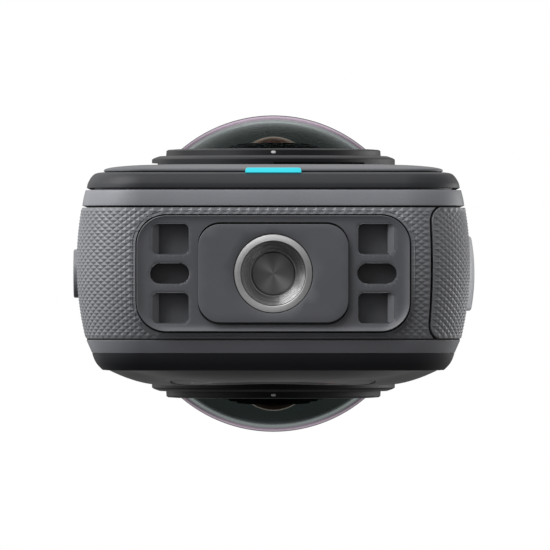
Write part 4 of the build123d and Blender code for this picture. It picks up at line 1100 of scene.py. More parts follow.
@dataclass
class Shells:
    """The smooth trims, the covers and the two panels."""

    lens_z: float = 102.3
    lens_hole: float = 15.35
    glass: Box = Box(0.0, 54.65, 15.4, 30.15, 3.0)
    glass_gap: float = 0.06
    shutter: Box = Box(-5.9, 15.2, 5.6, 3.5, 3.5)
    lens_key: Box = Box(8.2, 15.2, 3.4, 3.4, 3.4)
    key_gap: float = 0.15
    lip: Pair = (0.06, 0.12)
    front_inset: float = 3.1
    front_edge: float = 11.62
    front_rise: float = 0.81
    front_spread: float = 12.0
    front_powers: Pair = (2.2, 0.4)
    front_back: float = 11.56
    rear_inset: float = 3.4
    rear_edge: float = 10.96
    rear_rise: float = 1.82
    rear_spread: float = 6.6
    rear_power: float = 1.9
    rear_back: float = 10.9
    skirt_top: float = 12.3
    skirt_fall: float = 0.94
    skirt_half: float = 14.7
    skirt_end: float = 17.0
    skirt_power: float = 3.28
    skirt_z: Pair = (9.5, 20.0)
    valley_y: float = 12.33
    valley_r: float = 82.0
    valley_lift: float = 1.2
    valley_blend: Pair = (-1.0, 1.5)
    light_bar: Box = Box(0.0, 0.0, 3.15, 0.42, 0.3)
    light_y: float = 11.68
    light_drop: float = 0.15
    light_low: float = -0.27

    def bands(self) -> None:
        """The trims and the rims of the covers, as rounded (y, inset) profiles round the outline.

        Each trim has a step in its hidden part, which closes the seam to its cover.
        """
        front_trim = [(7.65, 0.66, 0.09), (8.5, 0.79, 0.5), (9.45, 1.04, 0.1), (9.45, 2.08, 0),
                      (9.66, 2.08, 0), (9.66, 2.3, 0), (7.65, 2.3, 0)]
        rear_trim = [(-7.53, 1.13, 0.08), (-8.98, 1.77, 0.02), (-8.98, 2.3, 0), (-9.04, 2.3, 0),
                     (-9.04, 2.9, 0), (-7.53, 2.9, 0)]
        front_cover = [(9.65, 1.17, 0.08), (10.2, 1.27, 0.2), (10.81, 1.6, 0.2), (11.15, 1.9, 0.15),
                       (11.29, 2.1, 0.1), (11.4, 2.45, 0.1), (11.46, 3.0, 0.1), (11.46, 5.5, 0),
                       (9.65, 5.5, 0)]
        rear_cover = [(-9.03, 1.78, 0.02), (-9.8, 2.02, 0.5), (-10.45, 2.46, 0.4), (-10.93, 2.98, 0.05),
                      (-10.93, 5.5, 0), (-9.03, 5.5, 0)]
        piece("front_trim_band", BODY.carried(front_trim), Finish.TRIM, "camera", ("front_trim",))
        piece("rear_trim_band", BODY.carried(rear_trim), Finish.REAR_TRIM, "camera", ("rear_trim",))
        piece("front_cover_shell", BODY.carried(front_cover), Finish.HOUSING, "camera",
              ("front_cover",))
        piece("rear_cover_shell", BODY.carried(rear_cover, 6), Finish.HOUSING, "camera",
              ("rear_cover",))

    def circle(self, grow: float = 0.0) -> Array:
        """The panels' round opening for a lens, pushed outwards by grow, as a loop in X and Z."""
        ring = np.linspace(0, 2 * math.pi, 160, endpoint=False)
        return np.stack([np.cos(ring), np.sin(ring)], 1) * (self.lens_hole + grow) + [0.0, self.lens_z]

    def beside_lens(self, loops: list[Array]) -> list[Array]:
        """The loops, pushed out of the opening for a lens."""
        return [keep_outside(loop, np.array([0.0, self.lens_z]), self.lens_hole) for loop in loops]

    def lowered(self, distance: Array) -> Array:
        """How far a panel's face dips at a distance from an opening, which gives a small lip."""
        return self.lip[0] * (1 - smooth(distance, 0, self.lip[1]))

    def front_panel(self) -> None:
        """The thin domed panel.

        Its height is a superellipse of the inset from the outline. Its back is just below its edge, so
        only a thin slit shows over the cover.
        """

        def height(x: Array, z: Array) -> Array:
            t = np.clip((BODY.inset_at(x, z) - self.front_inset) / self.front_spread, 0, 1)
            bulge = (1 - (1 - t) ** self.front_powers[0]) ** self.front_powers[1]
            hole = np.hypot(x, z - self.lens_z) - self.lens_hole
            return self.front_edge + self.front_rise * bulge - self.lowered(hole)

        def inside(x: Array, z: Array) -> Array:
            hole = self.lens_hole - np.hypot(x, z - self.lens_z)
            return np.maximum(self.front_inset - BODY.inset_at(x, z), hole)

        edges = self.beside_lens([BODY.loop(self.front_inset), self.circle()])
        insets = (3.102, 3.11, 3.13, 3.17, 3.23, 3.32, 3.45, 3.7, 4.1, 4.7, 5.5, 6.5)
        guides = [BODY.loop(inset) for inset in insets] + [self.circle(d) for d in (0.04, 0.12)]
        plate = Plate(edges, inside, height, self.front_back, self.beside_lens(guides), 1.6)
        piece("front_panel_shell", plate.surface(Facing.FRONT), Finish.PANEL, "camera",
              ("front_panel",), 40.0)

    def rear_height(self, x: Array, z: Array) -> Array:
        """The bulged panel's height over the middle plane.

        The bulge rises with the inset from the outline. Below the screen a skirt rises only to a plateau
        that falls off to both sides, and a shallow valley leads from it up to the screen.
        """
        low = self.glass.v - self.glass.half_v
        t = np.clip((BODY.inset_at(x, z) - self.rear_inset) / self.rear_spread, 0, 1)
        rise = 1 - (1 - t) ** self.rear_power
        across = np.minimum(np.abs(x), self.skirt_end) / self.skirt_half
        plateau = self.skirt_top - self.skirt_fall * across**self.skirt_power
        skirt = self.rear_edge + (plateau - self.rear_edge) * rise
        bulge = self.rear_edge + self.rear_rise * rise
        start, end = (low + shift for shift in self.valley_blend)
        valley = np.where(z > end, np.inf, self.valley_y + x**2 / (2 * self.valley_r))
        valley = valley + self.valley_lift * smooth(z, start, end)
        share = smooth(z, *self.skirt_z)
        return skirt * (1 - share) + np.minimum(bulge, valley) * share

    def rear_panel(self) -> None:
        """The bulged panel with its valley below the screen, and openings for glass, lens and keys."""
        glass = self.glass.widened(self.glass_gap, self.glass_gap)
        keys = [key.grown(self.key_gap) for key in (self.shutter, self.lens_key)]

        def openings(x: Array, z: Array) -> Array:
            out = np.minimum(glass.distance(x, z), np.hypot(x, z - self.lens_z) - self.lens_hole)
            for key in keys:
                out = np.minimum(out, key.distance(x, z))
            return out

        def height(x: Array, z: Array) -> Array:
            return self.rear_height(x, z) - self.lowered(openings(x, z))

        def inside(x: Array, z: Array) -> Array:
            return np.maximum(self.rear_inset - BODY.inset_at(x, z), -openings(x, z))

        def opened(grow: float) -> list[Array]:
            return [self.circle(grow), glass.loop(grow, 10, 1.0)] + [key.loop(grow, 16, 0.6) for key in keys]

        insets = (3.43, 3.5, 3.65, 3.9, 4.3, 4.8, 5.5, 6.4, 7.3)
        guides = self.beside_lens([BODY.loop(inset) for inset in insets]) + opened(0.04) + opened(0.12)
        edges = [BODY.loop(self.rear_inset)] + opened(0.0)
        plate = Plate(edges, inside, height, self.rear_back, guides, 1.0)
        piece("rear_panel_shell", plate.surface(Facing.REAR), Finish.REAR_PANEL, "camera",
              ("rear_panel",), 40.0)

    def light(self) -> None:
        """The status light: a rounded bar, flat on its inner side, that stands a little out of the cover."""
        levels = []
        for grow, z in ((-0.08, 2.42), (-0.02, 2.45), (0.0, 2.52), (0.0, 6.3)):
            flat = self.light_bar.loop(grow, 8)
            y = self.light_y + np.maximum(flat[:, 1] - self.light_drop, self.light_low)
            levels.append(Facing.BELOW.place(flat[:, 0], y, z))
        piece("status_light_bar", stacked(levels), Finish.LIGHT, "camera", ("status_light",))

    def screen(self) -> None:
        """The screen's cover glass: a polished edge, and flat levels inside it that keep its face even."""
        half = (self.glass.half_u, self.glass.half_v)
        loop = replace(self.glass, v=0.0).loop(0.0, 12, 3.0)
        levels = []
        for grow, y in ((0.0, -11.6), (0.0, -12.24), (-0.03, -12.31), (-0.1, -12.36), (-0.18, -12.38),
                        (-0.24, -12.38), (-1.0, -12.38)):
            flat = scaled_loop(loop, half, grow)
            levels.append(Facing.FRONT.place(flat[:, 0], self.glass.v + flat[:, 1], y))
        piece("screen_cover", stacked(levels), Finish.SCREEN, "camera", ("screen_glass",))

    def build(self) -> None:
        """Makes every shell."""
        self.bands()
        self.front_panel()
        self.rear_panel()
        self.light()
        self.screen()


@dataclass
class Base:
    """The base plate with its recesses, the tripod pad and the threaded bush."""

    outline: Box = Box(0.0, 0.0, 15.4, 6.54, 3.32)
    level: float = 0.2
    back: float = 2.6
    sink: float = 0.25
    lean: float = 0.4
    rim: float = 0.05
    rim_round: Pair = (0.06, 0.05)
    slope: Pair = (1.05, 0.8)
    pad_outline: Box = Box(0.0, 0.01, 8.47, 5.54, 2.5)
    pad_back: float = 0.95
    pad_round: float = 0.06
    pocket: float = 1.0
    pocket_gap: Pair = (0.03, 0.24)
    bush_r: float = 4.45
    plate_gap: float = 0.05
    pad_gap: float = 0.04
    lip_r: float = 3.72
    cone_low: float = 0.07
    cone_deep: float = 1.13
    thread_r: float = 2.5
    thread_deep: float = 0.6
    thread_pitch: float = 1.27
    thread_z: Pair = (1.3, 6.8)
    square_x: Pair = (9.55, 12.9)
    square_y: Pair = (2.18, 5.6)
    square_r: float = 0.6
    ramp: float = 0.75
    ramp_depth: float = 0.5
    slot_x: Pair = (9.45, 13.9)
    slot_half: float = 1.16
    recess: float = 1.5
    wall: float = 0.05
    chamfer: Pair = (0.05, 0.09)
    recess_grows: tuple[float, ...] = (-0.06, -0.025, 0.0, 0.045, 0.1)

    def squares(self) -> list[tuple[Box, int]]:
        """Each square recess with its ramp, and the side that its ramp is on."""
        near, far = self.square_x
        mx, hx = (near + far + self.ramp) / 2, (far + self.ramp - near) / 2
        my, hy = sum(self.square_y) / 2, (self.square_y[1] - self.square_y[0]) / 2
        return [(Box(sx * mx, sy * my, hx, hy, self.square_r), sx) for sx in (-1, 1) for sy in (-1, 1)]

    def slots(self) -> list[Box]:
        """The two oval slots."""
        mx, hx = sum(self.slot_x) / 2, (self.slot_x[1] - self.slot_x[0]) / 2
        return [Box(side * mx, 0.0, hx, self.slot_half, self.slot_half) for side in (-1, 1)]

    def cut(self, gap: Array, floor: Array | None = None) -> Array:
        """A recess's depth at a distance from its edge: its floor, its wall and a small chamfer outside."""
        deep = self.recess * (1 - smooth(gap, -self.wall, 0.0))
        deep = deep if floor is None else np.minimum(deep, floor)
        drop, width = self.chamfer
        return deep + drop * (1 - smooth(gap, 0.0, width)) * (gap > 0)

    def recess_height(self, x: Array, y: Array) -> Array:
        """How deep the recesses are at a point."""
        deep = np.zeros(np.broadcast(x, y).shape)
        for box, side in self.squares():
            away = side * (box.u + side * box.half_u) - side * x
            floor = np.clip(away / self.ramp, 0, 1) * self.ramp_depth
            floor = floor + (self.recess - self.ramp_depth) * smooth(away, self.ramp, self.ramp + self.wall)
            deep = np.maximum(deep, self.cut(box.distance(x, y), floor))
        for box in self.slots():
            deep = np.maximum(deep, self.cut(box.distance(x, y)))
        return deep

    def plate(self) -> None:
        """The plate: a flat rim, a slope down to the pad's pocket, and six recesses.

        The slope is a parabola between the rim and an inner rectangle, deeper on the screen's side.
        """
        outline = self.outline
        pocket = self.pad_outline.widened(*self.pocket_gap)
        foot = replace(outline.widened(-self.slope[0], -self.slope[1]), radius=outline.radius - self.slope[1])
        hole = self.bush_r + self.plate_gap
        width, fall = self.rim_round

        def height(x: Array, y: Array) -> Array:
            rounded = fall * (1 - smooth(-outline.distance(x, y), 0.0, width))
            outer = -outline.grown(-self.rim).distance(x, y)
            inner = foot.distance(x, y)
            slope = np.clip(outer / np.maximum(outer + np.maximum(inner, 0), 1e-6), 0, 1)
            slope = np.where(inner <= 0, 1.0, np.where(outer <= 0, 0.0, 1 - (1 - slope) ** 2))
            well = self.pocket * (1 - smooth(pocket.distance(x, y), -self.wall, 0.0))
            sunk = self.sink * (1 - self.lean * y / outline.half_v) * slope
            return self.level + rounded + np.maximum(sunk + self.recess_height(x, y), well)

        def inside(x: Array, y: Array) -> Array:
            return np.maximum(outline.distance(x, y), hole - np.hypot(x, y))

        edges = [outline.loop(0.0, 16, 0.6), Box.disc(0.0, 0.0, hole).loop(0.0, 24)]
        guides = [outline.loop(-d, 16, 0.6) for d in (0.03, 0.06, 0.1, 0.25, 0.45, 0.7)]
        guides += [pocket.loop(d, 14, 0.6) for d in (-0.06, -0.02, 0.0, 0.05)]
        for box, side in self.squares():
            guides += [box.loop(d, 8, 0.35) for d in self.recess_grows]
            guides += [self.ramp_line(box, side, shift) for shift in (0.0, -0.025, -0.05)]
        for box in self.slots():
            guides += [box.loop(d, 12, 0.35) for d in self.recess_grows]
        shape = Plate(edges, inside, height, self.back, guides, 0.55).surface(Facing.BELOW)
        piece("base_plate_shell", shape, Finish.BASE, "camera", ("base_plate",), 35.0)

    def ramp_line(self, box: Box, side: int, shift: float, count: int = 10, bow: float = 0.004) -> Array:
        """A very thin loop along the foot of a square recess's ramp, which keeps that edge straight."""
        here = side * self.square_x[1] + side * shift
        reach = box.half_v - 0.1
        ends = np.linspace(box.v - reach, box.v + reach, count)
        offset = np.concatenate([np.zeros(count), np.full(count, bow)])
        return np.stack([here + side * offset, np.concatenate([ends, ends[::-1]])], 1)

    def pad(self) -> None:
        """The pad, flat with a small rounded edge."""
        outline, r = self.pad_outline, self.bush_r + self.pad_gap

        def height(x: Array, y: Array) -> Array:
            t = np.clip(1 + outline.distance(x, y) / self.pad_round, 0, 1)
            bush = 0.03 * (1 - smooth(np.hypot(x, y) - self.bush_r - self.pad_gap, 0, self.pad_round))
            return self.pad_round * (1 - np.sqrt(1 - t**2)) + bush

        def inside(x: Array, y: Array) -> Array:
            return np.maximum(outline.distance(x, y), r - np.hypot(x, y))

        hole = Box.disc(0.0, 0.0, r)
        edges = [outline.loop(0.0, 16, 0.8), hole.loop(0.0, 24)]
        guides = [outline.loop(-d, 16, 0.8) for d in (0.004, 0.012, 0.03, 0.06)]
        guides += [hole.loop(d, 24) for d in (0.03, 0.06)]
        shape = Plate(edges, inside, height, self.pad_back, guides, 1.2).surface(Facing.BELOW)
        piece("tripod_pad_shell", shape, Finish.PAD, "camera", ("tripod_pad",), 35.0)

    def bush(self) -> None:
        """The bush: a turned face and cone, a thread whose crests are at the minor diameter, and a floor.

        The profile is (radius, z) points. The thread's radius follows a triangle wave of the height in
        pitches less the turn, and fades out at both ends.
        """
        turns = np.linspace(0, 2 * math.pi, 144, endpoint=False)[:, None]
        side, low, end = self.bush_r - 0.05, self.lip_r - 0.03, self.thread_z[0]
        face = round_corners([(side, self.back, 0), (side, 0.08, 0.05), (self.lip_r, 0.0, 0.04),
                              (low, self.cone_low, 0.0)], 3, closed=False)
        cone = []
        for share in np.linspace(0, 1, 9)[1:]:
            r = low - (self.lip_r - self.thread_r - 0.16) * share
            z = self.cone_low + self.cone_deep * share
            cone += [(r + 0.015, z - 0.015), (r, z)]
        cone += [(self.thread_r + 0.02, 1.22), (self.thread_r, end)]
        bore_z = np.linspace(*self.thread_z, 90)
        phase = bore_z[None, :] / self.thread_pitch - turns / (2 * math.pi)
        tooth = np.abs((phase % 1.0) * 2 - 1)
        fade = smooth(bore_z, end, 1.8)[None, :] * (1 - smooth(bore_z, 6.3, 6.75))[None, :]
        bore_r = self.thread_r + self.thread_deep * smooth(tooth, 0.1, 0.9) * fade
        rest = np.array([(self.thread_r, 7.4), (2.4, 7.4), (2.4, 6.83), (2.37, 6.8), (0.0, 6.8),
                         (0.0, 8.0), (3.9, 8.0), (3.9, self.back)])
        profile = np.concatenate([face, cone])
        around = [np.broadcast_to(part, (len(turns), len(part)))
                  for part in (profile[:, 0], profile[:, 1], bore_z, rest[:, 0], rest[:, 1])]
        r = np.concatenate([around[0], bore_r, around[3]], 1)
        z = np.concatenate([around[1], around[2], around[4]], 1)
        shape = grid_surface(np.stack([r * np.cos(turns), r * np.sin(turns), z], -1))
        piece("tripod_bush_turned", shape, Finish.BUSH, "camera", ("tripod_bush",), 24.0)

    def build(self) -> None:
        """Makes the base."""
        self.plate()
        self.pad()
        self.bush()


@dataclass
class Lens:
    """One of the two lenses: its twist ring, dome, inner element and baffle."""

    side: int
    z: float = 102.3
    base: float = 12.43
    disc_r: float = 14.67
    rim_r: float = 12.92
    chord_r: float = 11.35
    cut_r: float = 12.6
    cut_angle: float = 48.0
    cut_middle: float = 246.0
    cut_step: float = 0.05
    dome_r: float = 17.22
    dome_foot_r: float = 11.6
    dome_top: float = 6.67
    dome_foot: float = 1.0
    dome_wall: float = 0.8
    dot_r: float = 0.3
    dot_y: float = 2.12
    dot_flat: float = 0.55
    cap_r: float = 4.9
    cap_edge: float = 3.35
    cap_top: float = 4.17

    @property
    def name(self) -> str:
        """The lens's side as the frame names it."""
        return "front" if self.side > 0 else "rear"

    @property
    def body(self) -> str:
        """The body that the twist ring and the dome ride on."""
        return f"{self.name}_lens"

    def ring(self) -> None:
        """The twist ring.

        A closed (radius, y) profile is turned about the lens's axis; the lower part of the disc draws in
        to the cut radius over three arcs, which leaves the lugs' hooks.
        """
        b, chord, rim = self.base, self.chord_r, self.rim_r
        top, far, near = b + 1.5, b + 2.4, b + 0.1
        fixed = round_corners([
            (self.disc_r, near + 0.8, 0.02), (self.disc_r, top - 0.17, 0.04), (14.42, top, 0.05),
            (13.74, top + 0.24, 0.05), (rim + 0.04, top + 0.24, 0.03), (rim, far - 0.03, 0.03),
            (rim - 0.2, far + 0.1, 0.06), (chord + 0.4, far + 0.17, 0.05), (chord + 0.02, far - 0.22, 0.03),
            (chord + 0.1, far - 0.6, 0.0), (chord + 0.33, b + 0.9, 0.0), (9.85, b + 0.55, 0.0),
            (9.8, b - 1.9, 0.0), (10.9, b - 1.9, 0.0), (10.95, near, 0.0)], 4, closed=False)
        turns = 120.0 * np.arange(3)
        starts = (self.cut_middle - self.cut_angle / 2 + turns) % 360
        edges = [starts + turn + way * self.cut_step for turn in (0, self.cut_angle) for way in (-1, 1)]
        degrees = np.degrees(np.linspace(0, 2 * math.pi, 288, endpoint=False))
        degrees = np.sort(np.concatenate([degrees, np.concatenate(edges) % 360]))[:, None]
        away = np.abs((degrees - self.cut_middle - turns[None, :] + 180) % 360 - 180).min(1)
        low_r = np.where(away < self.cut_angle / 2, self.cut_r, self.disc_r)[:, None]
        high_r = np.broadcast_to(fixed[:, 0], (len(degrees), len(fixed)))
        r = np.concatenate([low_r - 0.02, low_r, low_r, high_r], 1)
        y = np.concatenate([[near, near + 0.03, near + 0.79], fixed[:, 1]])
        shape = grid_surface(about_y(r, y, np.radians(degrees), self.z)).turned(self.side)
        piece(f"{self.name}_lens_twist_ring", shape, Finish.LENS_BLACK, self.body,
              (f"{self.name}_lens_ring",), 28.0)

    def dot(self) -> None:
        """The alignment dot: a flat oval on the ring's rim, on the side of the tripod end."""
        spot = np.linspace(0, 2 * math.pi, 24, endpoint=False)
        levels = []
        for size, drop in ((self.dot_r, -0.03), (self.dot_r, 0.02), (self.dot_r - 0.04, 0.03)):
            x = size * np.cos(spot)
            y = self.base + self.dot_y + self.dot_flat * size * np.sin(spot)
            levels.append(np.stack([x, y, self.z - np.sqrt(self.rim_r**2 - x**2) - drop], 1))
        piece(f"{self.name}_lens_dot", stacked(levels).turned(self.side), Finish.DOT, self.body)

    def dome(self) -> None:
        """The dome glass: a spherical shell with a rounded foot, as a profile turned about the axis."""
        centre = self.base + self.dome_top - self.dome_r
        foot = self.base + self.dome_foot
        inner_r = self.dome_r - self.dome_wall
        out = np.linspace(0, math.asin(self.dome_foot_r / self.dome_r), 40)
        back = np.linspace(math.acos((foot - centre) / inner_r), 0, 36)
        outer = np.stack([self.dome_r * np.sin(out), centre + self.dome_r * np.cos(out)], 1)
        inner = np.stack([inner_r * np.sin(back), centre + inner_r * np.cos(back)], 1)
        profile = np.concatenate([outer, [[self.dome_foot_r, foot]], inner])
        shape = revolved(profile, self.z, 144, closed=False).turned(self.side)
        piece(f"{self.name}_dome", shape, Finish.DOME, self.body,
              (f"{self.name}_dome_glass",), 40.0)

    def baffle(self) -> None:
        """The black baffle, whose six steps rise to the element in its middle."""
        b = self.base
        steps = [(9.5, b - 3.8, 0.0), (9.5, b + 1.3, 0.0), (9.3, b + 1.67, 0.1)]
        r, y = 9.2, b + 1.67
        for _ in range(6):
            steps += [(r, y, 0.0), (r - 0.1, y + 0.2, 0.03), (r - 0.92, y + 0.26, 0.03)]
            r, y = r - 0.95, y + 0.27
        steps += [(3.5, b + 3.27, 0.05), (3.3, b + 2.9, 0.0), (0.0, b + 2.9, 0.0), (0.0, b - 3.8, 0.0)]
        shape = revolved(round_corners(steps, 3), self.z, 96).turned(self.side)
        piece(f"{self.name}_baffle", shape, Finish.BARREL, "camera",
              (f"{self.name}_lens_barrel",), 30.0)

    def element(self) -> None:
        """The small coated element: a spherical cap on a cylinder that runs down into the baffle."""
        centre = self.base + self.cap_top - self.cap_r
        arc = np.linspace(0, math.asin(self.cap_edge / self.cap_r), 24)
        cap = np.stack([self.cap_r * np.sin(arc), centre + self.cap_r * np.cos(arc)], 1)
        foot = self.base - 0.8
        profile = np.concatenate([cap, [[self.cap_edge, foot], [0.0, foot]]])
        shape = revolved(profile, self.z, 96, closed=False).turned(self.side)
        piece(f"{self.name}_element", shape, Finish.ELEMENT, "camera",
              (f"{self.name}_inner_element",), 40.0)

    def build(self) -> None:
        """Makes the lens."""
        self.ring()
        self.dot()
        self.dome()
        self.baffle()
        self.element()


@dataclass
class Keys:
    """The keys, the latch and the plug of the battery door."""

    shells: Shells
    side_half: Pair = (6.6, 2.85)
    latch_low: float = 50.0
    latch_high: float = 65.0
    latch_half: float = 4.35
    latch_r: float = 1.6
    latch_crown: float = 23.5
    latch_level: float = 0.2
    latch_ramp: Pair = (2.6, 0.75)
    latch_ribs: Pair = (8.0, 0.2)
    rib_first: float = 3.4
    rib_pitch: float = 1.3
    rib_blend: float = 0.3
    latch_edge: Pair = (0.35, 0.25)
    plug: Box = Box(39.25, 0.0, 30.0, 6.13, 1.4)
    plug_points: int = 60
    slot_floor: Box = Box(56.25, 0.0, 9.2, 4.7, 1.8)
    cap_sunk: float = 0.03
    cap_round: Pair = (0.3, 0.09)
    grille: Box = Box(0.0, 39.0, 1.12, 6.27, 1.12)
    grille_face: float = 22.24
    grille_round: Pair = (0.1, 0.06)
    hole_r: float = 0.45
    hole_first: float = 34.2
    hole_pitch: float = 2.4
    holes: int = 5

    def side_key(self, name: str, body: str, z: float, node: str) -> None:
        """A side key: a stadium with a crowned face."""
        loop = Box(0.0, 0.0, *self.side_half, self.side_half[1]).loop(0.0, 16, 1.0)
        levels = []
        for grow, x in ((0.0, 20.0), (0.0, 23.3), (-0.05, 23.42), (-0.16, 23.48), (-0.8, 23.5)):
            flat = scaled_loop(loop, self.side_half, grow)
            levels.append(Facing.LEFT.place(flat[:, 1], z + flat[:, 0], x))
        piece(name, stacked(levels), Finish.KEY, body, (node,))

    def latch(self) -> None:
        """The battery latch: a slide with a barrel crown, a ramp at its low end and ribs across it."""
        low, half_z = self.latch_low, (self.latch_high - self.latch_low) / 2
        outline = Box(0.0, low + half_z, self.latch_half, half_z, self.latch_r)
        flat_end, deep = self.latch_ramp
        ribs_end, tall = self.latch_ribs
        width, fall = self.latch_edge

        def height(y: Array, z: Array) -> Array:
            crown = np.sqrt(self.latch_crown**2 - y**2) - self.latch_level
            ramp = deep * (1 - smooth(z, low, low + flat_end))
            rib = np.cos((z - low - self.rib_first) * 2 * math.pi / self.rib_pitch)
            first = smooth(z, low + flat_end, low + flat_end + self.rib_blend)
            last = 1 - smooth(z, low + ribs_end, low + ribs_end + self.rib_blend)
            t = np.clip(1 + outline.distance(y, z) / width, 0, 1)
            edge = fall * (1 - np.sqrt(np.clip(1 - t**2, 0, 1)))
            return crown - ramp + tall * smooth(rib, -0.4, 0.6) * first * last - edge

        loops = [outline.loop(-d, 12, 0.5) for d in (0, 0.02, 0.06, 0.13, 0.23, 0.35)]
        plate = Plate(loops[:1], outline.distance, height, 21.3, loops[1:], 0.22)
        piece("latch_slide_cap", plate.surface(Facing.RIGHT), Finish.LATCH, "latch",
              ("battery_latch",), 40.0)

    def door_plug(self) -> None:
        """The battery door's plug, with the groove for its seal, and the floor of the latch's slot.

        The plug's loops stop after plug_points, so its upper corner on the screen's side is cut off.
        """
        plug = []
        for grow, x in ((0.0, -20.9), (0.0, -20.57), (-0.5, -20.55), (-0.5, -19.75), (0.0, -19.72),
                        (0.0, -18.75), (-0.15, -18.65)):
            flat = self.plug.widened(grow, grow).loop(0.0, 10, 4.0)[:self.plug_points]
            plug.append(Facing.LEFT.place(flat[:, 1], flat[:, 0], x))
        flat = self.slot_floor.loop()
        floor = [Facing.LEFT.place(flat[:, 1], flat[:, 0], x) for x in (-21.14, -20.8)]
        piece("battery_door_plug", stacked(plug) + stacked(floor), Finish.RECESS, "battery")

    def rear_keys(self) -> None:
        """The shutter key and the lens key, flush with the panel and each with a printed ring."""
        for name, node, body, key, finish in (
                ("shutter_key_cap", "shutter_button", "shutter_key", self.shells.shutter, Finish.SHUTTER),
                ("lens_key_cap", "lens_button", "lens_key", self.shells.lens_key, Finish.LENS_KEY)):
            width, fall = self.cap_round

            def height(x: Array, z: Array, key: Box = key) -> Array:
                edge = fall * smooth(key.distance(x, z), -width, 0.0)
                return self.shells.rear_height(x, z) - self.cap_sunk - edge

            loops = [key.loop(grow, 18, 0.6) for grow in (0, -0.05, -0.1, -0.2, -0.3)]
            plate = Plate(loops[:1], key.distance, height, 9.3, loops[1:], 0.8)
            piece(name, plate.surface(Facing.REAR), finish, body, (node,), 40.0)

    def speaker_grille(self) -> None:
        """The speaker's grille: a smooth stadium with a row of holes."""
        holes = [Box.disc(0.0, self.hole_first + self.hole_pitch * k, self.hole_r) for k in range(self.holes)]
        width, fall = self.grille_round

        def inside(y: Array, z: Array) -> Array:
            out = self.grille.distance(y, z)
            for hole in holes:
                out = np.maximum(out, hole.radius - np.hypot(y, z - hole.v))
            return out

        def height(y: Array, z: Array) -> Array:
            return self.grille_face - fall * (1 - smooth(-inside(y, z), 0, width))

        edges = [self.grille.loop(0.0, 16, 0.6)] + [hole.loop(0.0, 7) for hole in holes]
        guides = [hole.loop(width, 7) for hole in holes] + [self.grille.loop(-width, 16, 0.6)]
        plate = Plate(edges, inside, height, 21.2, guides, 0.5)
        piece("speaker_grille", plate.surface(Facing.LEFT), Finish.KEY, "camera", (), 40.0)

    def build(self) -> None:
        """Makes the keys and the latch."""
        for key, z in zip(("power", "quick"), Grip.key_heights):
            self.side_key(f"{key}_key_cap", f"{key}_key", z, f"{key}_button")
        self.latch()
        self.door_plug()
        self.rear_keys()
        self.speaker_grille()


NODE_FINISHES: dict[Finish, tuple[str, ...]] = {
    Finish.FRAME: ("mid_frame", "battery_tray", "battery_contacts"),
    Finish.RUBBER: ("front_gasket", "rear_gasket", "battery_seal", "usb_seal", "front_lens_seal",
                    "rear_lens_seal"),
    Finish.MOUNT: ("front_lens_mount", "rear_lens_mount"),
    Finish.DISPLAY: ("display_module",),
    Finish.ALUMINIUM: ("lens_carrier", "heat_spreader"),
    Finish.SCREW: ("cover_screws", "usb_door_pin"),
    Finish.BOARD: ("main_board", "side_key_board", "rear_key_board", "front_sensor_board",
                   "rear_sensor_board"),
    Finish.CAN: ("board_shields", "usb_port", "card_socket", "microphones"),
    Finish.SENSOR: ("front_image_sensor", "rear_image_sensor"),
    Finish.CELL: ("battery_pack",),
    Finish.SMALL: ("speaker", "memory_card", "antenna"),
    Finish.MESH: ("mic_meshes",),
}


def dress_nodes() -> None:
    """Gives each CAD node that still shows its finish."""
    for finish, names in NODE_FINISHES.items():
        for name in names:
            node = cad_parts[name]
            node.data.materials.clear()
            node.data.materials.append(finish.material())


# ---------------------------------------------------------------- stage


